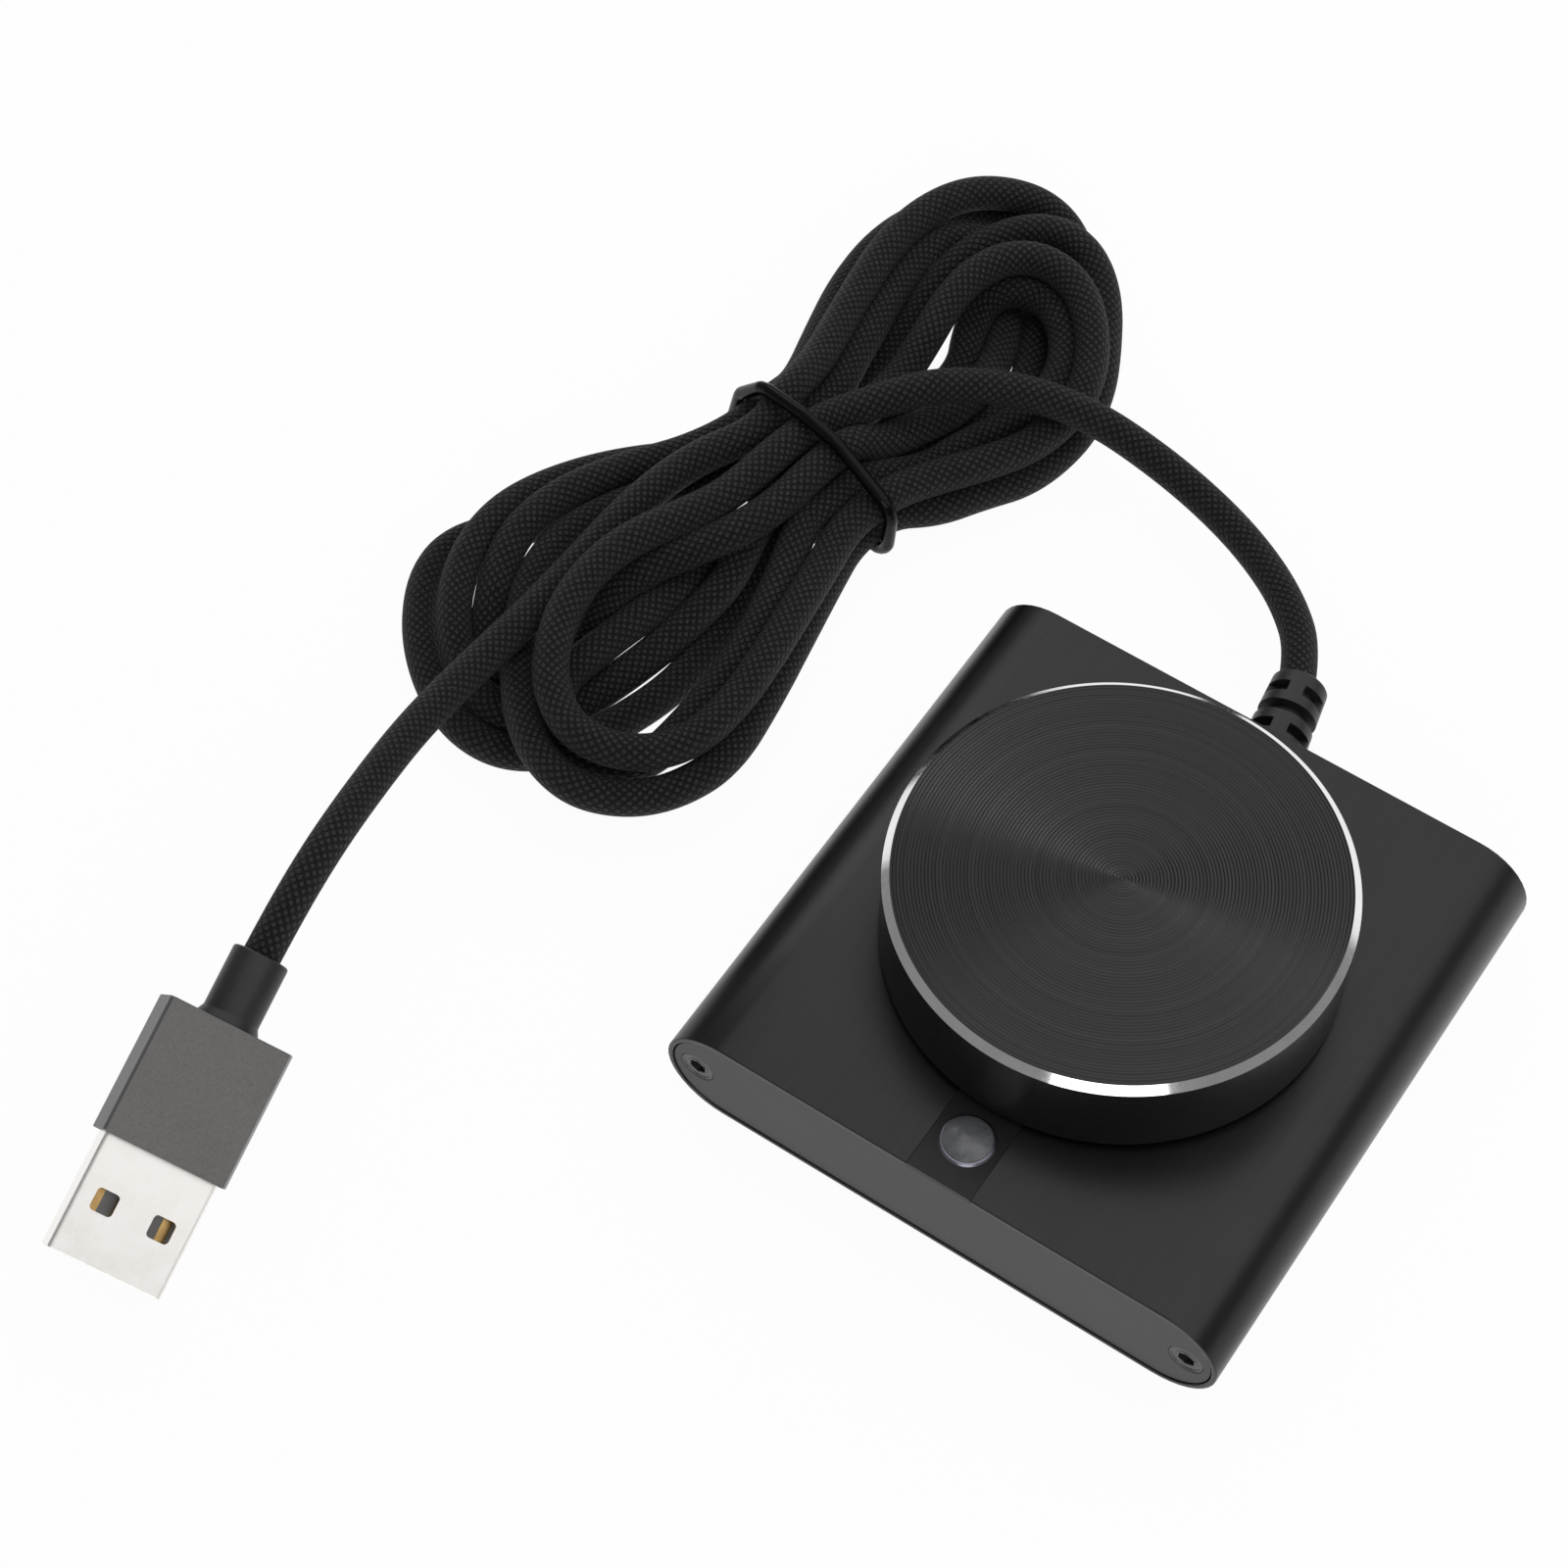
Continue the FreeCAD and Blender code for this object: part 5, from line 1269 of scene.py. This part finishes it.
@dataclass
class Plug:
    """The plug: a rubber sleeve, a metal grip and the plated shell, tipped on its mouth."""

    spot: Point = (-64.4, -68.0, 8.6)
    yaw: float = -83.3
    pitch: float = 19.0
    roll: float = -28.9
    grip: tuple[float, float, float] = (14.2, 13.1, 7.3)
    chamfer: float = 0.28
    end_chamfer: float = 0.08
    shell_size: tuple[float, float, float] = (12.0, 12.0, 4.5)
    shell_root: float = 3.0
    sheet: float = 0.3
    window: tuple[float, float] = (1.85, 4.15)
    window_place: float = 4.85
    window_corner: float = 0.42
    last_row: float = 9.5
    mouth_bend: float = 0.45
    mouth_lip: float = 0.05
    sleeve: tuple[float, float] = (2.9, 7.4)
    bore: float = 2.2

    def _lay(self, points: np.ndarray) -> np.ndarray:
        """Move points from the plug's own frame to where it lies."""
        turn = (
            Matrix.Rotation(math.radians(self.yaw), 3, "Z")
            @ Matrix.Rotation(math.radians(self.pitch), 3, "Y")
            @ Matrix.Rotation(math.radians(self.roll), 3, "X")
        )
        return points @ np.array(turn).T + np.array(self.spot)

    def grip_block(self) -> bpy.types.Object:
        """Build the grip: an eight-sided section carried along X, a little smaller at its ends."""
        length, width, height = self.grip
        cut, nip = self.chamfer, self.end_chamfer
        half_w, half_h = width / 2.0, height / 2.0
        right = np.array(
            [(half_w, cut - half_h), (half_w, half_h - cut), (half_w - cut, half_h)]
        )
        section = np.vstack([right, right[::-1] * [-1.0, 1.0], [(cut - half_w, -half_h)]])
        section = np.vstack([section, [(half_w - cut, -half_h)]])
        places = np.array([-length, -length, nip - length, -nip, 0.0, 0.0])
        inset = np.array([0.5, nip, 0.0, 0.0, nip, 0.5])[:, None, None]
        flat = section * (1.0 - inset * np.array([2.0 / width, 2.0 / height]))
        flat = np.concatenate([np.zeros((1, 8, 2)), flat, np.zeros((1, 8, 2))])
        places = np.concatenate([[-length], places, [0.0]])
        grid = np.concatenate([np.repeat(places[:, None, None], 8, axis=1), flat], axis=2)
        slots = np.zeros((len(places) - 1, 8), int)
        slots[2:-2, 1::2] = 1
        shell = Shell()
        shell.patch(self._lay(grid), wrap=True, slot=slots)
        piece = shell.build("plug_block", ["grip_metal", "grip_cut"], 20.0)
        return settle(piece, "housing", "grip_metal", "plug_grip")

    def _shell_section(self, marks: np.ndarray, bend: float) -> np.ndarray:
        """Return the shell's outline: flats that carry the marks, joined by bent corners."""
        half_w, half_h = self.shell_size[1] / 2.0, self.shell_size[2] / 2.0
        arc = np.linspace(0.0, TURN / 4.0, 6)
        corner = np.stack([np.sin(arc), np.cos(arc)], axis=1) * bend
        corner = corner + np.array([half_w - bend, half_h - bend])
        flat = np.stack([marks, np.full_like(marks, -half_h)], axis=1)
        quarters = [
            corner,
            (corner * [1.0, -1.0])[::-1],
            flat,
            corner * [-1.0, -1.0],
            (corner * [-1.0, 1.0])[::-1],
        ]
        return np.vstack([flat[::-1] * [1.0, -1.0], *quarters])

    def metal_shell(self) -> bpy.types.Object:
        """Build the shell: a bent sheet with two round-cornered windows above and below.

        The sheet is a grid of places along the plug and points of the outline.  The cells
        of each window are left out, and a face with an arc fills each of its corners.
        """
        length, width, height = self.shell_size
        near, far = self.window
        bend = self.window_corner
        marks = np.array([near, near + bend, far - bend, far])
        marks = np.concatenate([marks[::-1], -marks])
        section = self._shell_section(marks, self.mouth_bend)
        start, end = self.window_place, self.window_place + far - near
        holes = [start, start + bend, end - bend, end]
        lip = self.mouth_lip
        places = np.array([-self.shell_root, 0.0, *holes, self.last_row, length - lip, length])
        pinch = np.where(places >= length, lip, 0.0)
        flat = section[None] * (1.0 - pinch[:, None, None] * [2.0 / width, 2.0 / height])
        depth = np.repeat(places[:, None, None], len(section), axis=1)
        grid = np.concatenate([depth, flat], axis=2)
        middle = (section + np.roll(section, -1, axis=0)) / 2.0
        level = np.abs(middle[:, 1]) > height / 2.0 - TOUCH
        window = level & (np.abs(middle[:, 0]) > near) & (np.abs(middle[:, 0]) < far)
        keep = np.ones((len(places) - 1, len(section)), bool)
        keep[2:5, window] = False
        shell = Shell()
        index = shell.patch(self._lay(grid), wrap=True, keep=keep)
        turns = np.linspace(0.0, TURN / 4.0, 6)[1:-1, None]
        edges = np.flatnonzero(window & ~np.roll(window, 1))
        for column in edges:
            for side, inner in ((column, column + 1), (column + 3, column + 2)):
                for row, within in ((2, 3), (5, 4)):
                    core = grid[within, inner]
                    out, up = grid[within, side] - core, grid[row, inner] - core
                    arc = core + out * np.cos(turns) + up * np.sin(turns)
                    loose = shell.loose(self._lay(arc))
                    ring = [index[row, side], index[within, side], *loose, index[row, inner]]
                    shell.face([int(corner) for corner in ring])
        piece = shell.build("plug_mouth", ["shell_steel"], smooth=False)
        solid = piece.modifiers.new("thickness", "SOLIDIFY")
        solid.thickness = self.sheet * MM
        solid.offset = -1.0
        edge = piece.modifiers.new("edge", "BEVEL")
        edge.width = 0.04 * MM
        edge.segments = 2
        edge.limit_method = "ANGLE"
        return settle(piece, "housing", "shell_steel", "plug_shell")

    def cord_sleeve(self) -> bpy.types.Object:
        """Turn the sleeve that the cord goes into, flared where it meets the grip."""
        radius, length = self.sleeve
        front = -self.grip[0]
        back, flare = front - length, radius + 0.4
        profile = rounded(
            [
                (0.0, back + 3.0, 0.0),
                (self.bore, back + 3.0, 0.0),
                (self.bore, back, 0.15),
                (radius, back, 0.3),
                (radius, front - 0.9, 0.5),
                (flare, front - 0.1, 0.2),
                (flare, front + 0.02, 0.0),
                (0.0, front + 0.02, 0.0),
            ],
            6,
        )
        grid = lathe(profile, 72)
        grid = np.stack([grid[..., 2], grid[..., 0], grid[..., 1]], axis=-1)
        shell = Shell()
        shell.patch(self._lay(grid), wrap=True)
        piece = shell.build("plug_collar", ["boot_rubber"], 40.0)
        return settle(piece, "housing", "boot_rubber", "plug_sleeve")

    def build(self) -> list[bpy.types.Object]:
        """Build the plug's pieces.

        Returns:
            The pieces that lie on the cord, the carried nodes among them.
        """
        made = [self.grip_block(), self.metal_shell(), self.cord_sleeve()]
        return [*made, frame["nodes"]["plug_tongue"], frame["nodes"]["plug_contacts"]]


# ---------------------------------------------------------------------------------------
# Carried nodes, stage, lights and camera
# ---------------------------------------------------------------------------------------


def dress_nodes() -> None:
    """Give every carried node the finish of its slot in the record."""
    for part in frame["record"]["subparts"]:
        node = frame["nodes"][part["node"]]
        material = WARDROBE.get(part["material_slot"])
        if not node.material_slots:
            node.data.materials.append(material)
        for held in node.material_slots:
            held.material = material
        LOG.info("%s: %s", part["node"], part["material_slot"])


def hang(thing: bpy.types.Object, place: Point, axes: list[Any]) -> None:
    """Link a lamp or camera with its place and its right, up and back axes."""
    turn = Matrix([np.array(axis).tolist() for axis in axes]).transposed().to_4x4()
    thing.matrix_world = Matrix.Translation(place) @ turn
    bpy.context.scene.collection.objects.link(thing)


@dataclass
class Lamp:
    """One soft rectangular lamp: its place, aim and size in metres, its power in watts."""

    name: str
    place: Point
    aim: Point
    size: tuple[float, float]
    power: float

    def build(self) -> None:
        """Hang the lamp and turn it to its aim."""
        data = bpy.data.lights.new(self.name, "AREA")
        data.shape = "RECTANGLE"
        data.size, data.size_y = self.size
        data.energy = self.power
        back = np.array(self.place) - np.array(self.aim)
        back /= np.linalg.norm(back)
        side = np.cross([0.0, 1.0, 0.0] if abs(back[2]) > 0.99 else UP, back)
        side /= np.linalg.norm(side)
        hang(bpy.data.objects.new(self.name, data), self.place, [side, np.cross(back, side), back])


@dataclass
class Studio:
    """The pale floor, the soft lamps, the world and the camera."""

    lamps: tuple[Lamp, ...] = (
        Lamp("top_box", (0.53, 0.67, 0.90), (0.53, 0.67, 0.0), (1.83, 1.90), 12.2),
        Lamp("back_box", (-1.00, 1.05, 0.90), (-1.00, 1.05, 0.0), (1.23, 1.14), 5.35),
        Lamp("strip", (-0.75, 0.578, 0.88), (-0.75, 0.578, 0.0), (0.626, 0.10), 0.7),
        Lamp("front_box", (0.45, -0.75, 0.50), (0.0, 0.0, 0.0), (0.7, 0.5), 2.6),
    )
    ambient: float = 0.25
    floor_reach: float = 3000.0
    eye: Point = (0.07361, -0.17181, 0.33552)
    right: Point = (0.8318, 0.5550, 0.0080)
    up: Point = (-0.4735, 0.7019, 0.5321)
    back: Point = (0.2897, -0.4464, 0.8466)
    lens: float = 87.18

    def floor(self) -> None:
        """Lay the floor: a wide square at the height of the feet."""
        reach = self.floor_reach
        corners = np.array([[(-reach, -reach, 0.0), (reach, -reach, 0.0)]] * 2)
        corners[1, :, 1] = reach
        shell = Shell()
        shell.patch(corners)
        shell.build("floor", ["pale_floor"], merge=False)

    def world(self) -> None:
        """Set an even pale world, white where the camera sees it."""
        world = bpy.data.worlds.new("studio")
        world.use_nodes = True
        tree = world.node_tree
        tree.nodes.clear()
        paths = tree.nodes.new("ShaderNodeLightPath")
        mixed = tree.nodes.new("ShaderNodeMixShader")
        out = tree.nodes.new("ShaderNodeOutputWorld")
        tree.links.new(paths.outputs["Is Camera Ray"], mixed.inputs[0])
        for socket, strength in ((1, self.ambient), (2, 1.0)):
            light = tree.nodes.new("ShaderNodeBackground")
            light.inputs["Color"].default_value = (1.0, 1.0, 1.0, 1.0)
            light.inputs["Strength"].default_value = strength
            tree.links.new(light.outputs[0], mixed.inputs[socket])
        tree.links.new(mixed.outputs[0], out.inputs["Surface"])
        bpy.context.scene.world = world

    def camera(self) -> None:
        """Set the camera from its place and its three axes."""
        data = bpy.data.cameras.new("camera")
        data.sensor_fit = "HORIZONTAL"
        data.sensor_width = 36.0
        data.lens = self.lens
        data.clip_start = 0.01
        data.clip_end = 20.0
        made = bpy.data.objects.new("camera", data)
        hang(made, self.eye, [self.right, self.up, self.back])
        bpy.context.scene.camera = made

    def build(self) -> None:
        """Set up the whole studio."""
        bpy.context.scene.view_settings.view_transform = "Standard"
        self.floor()
        self.world()
        for lamp in self.lamps:
            lamp.build()
        self.camera()


def main() -> None:
    """Dress the part, piece by piece."""
    logging.basicConfig(level=logging.INFO, format="%(name)s: %(message)s")
    Studio().build()
    dress_nodes()
    boot = StrainRelief().build()
    lead = Lead()
    path, total = lead.run()
    skin = tube(path, lead.radius, lead.around)
    tie = Tie().build(skin)
    plug = Plug().build()
    lead.build(path, total, skin, [boot, tie, *plug])
    Case().build()
    Knob().build()


if __name__ == "__main__":
    main()
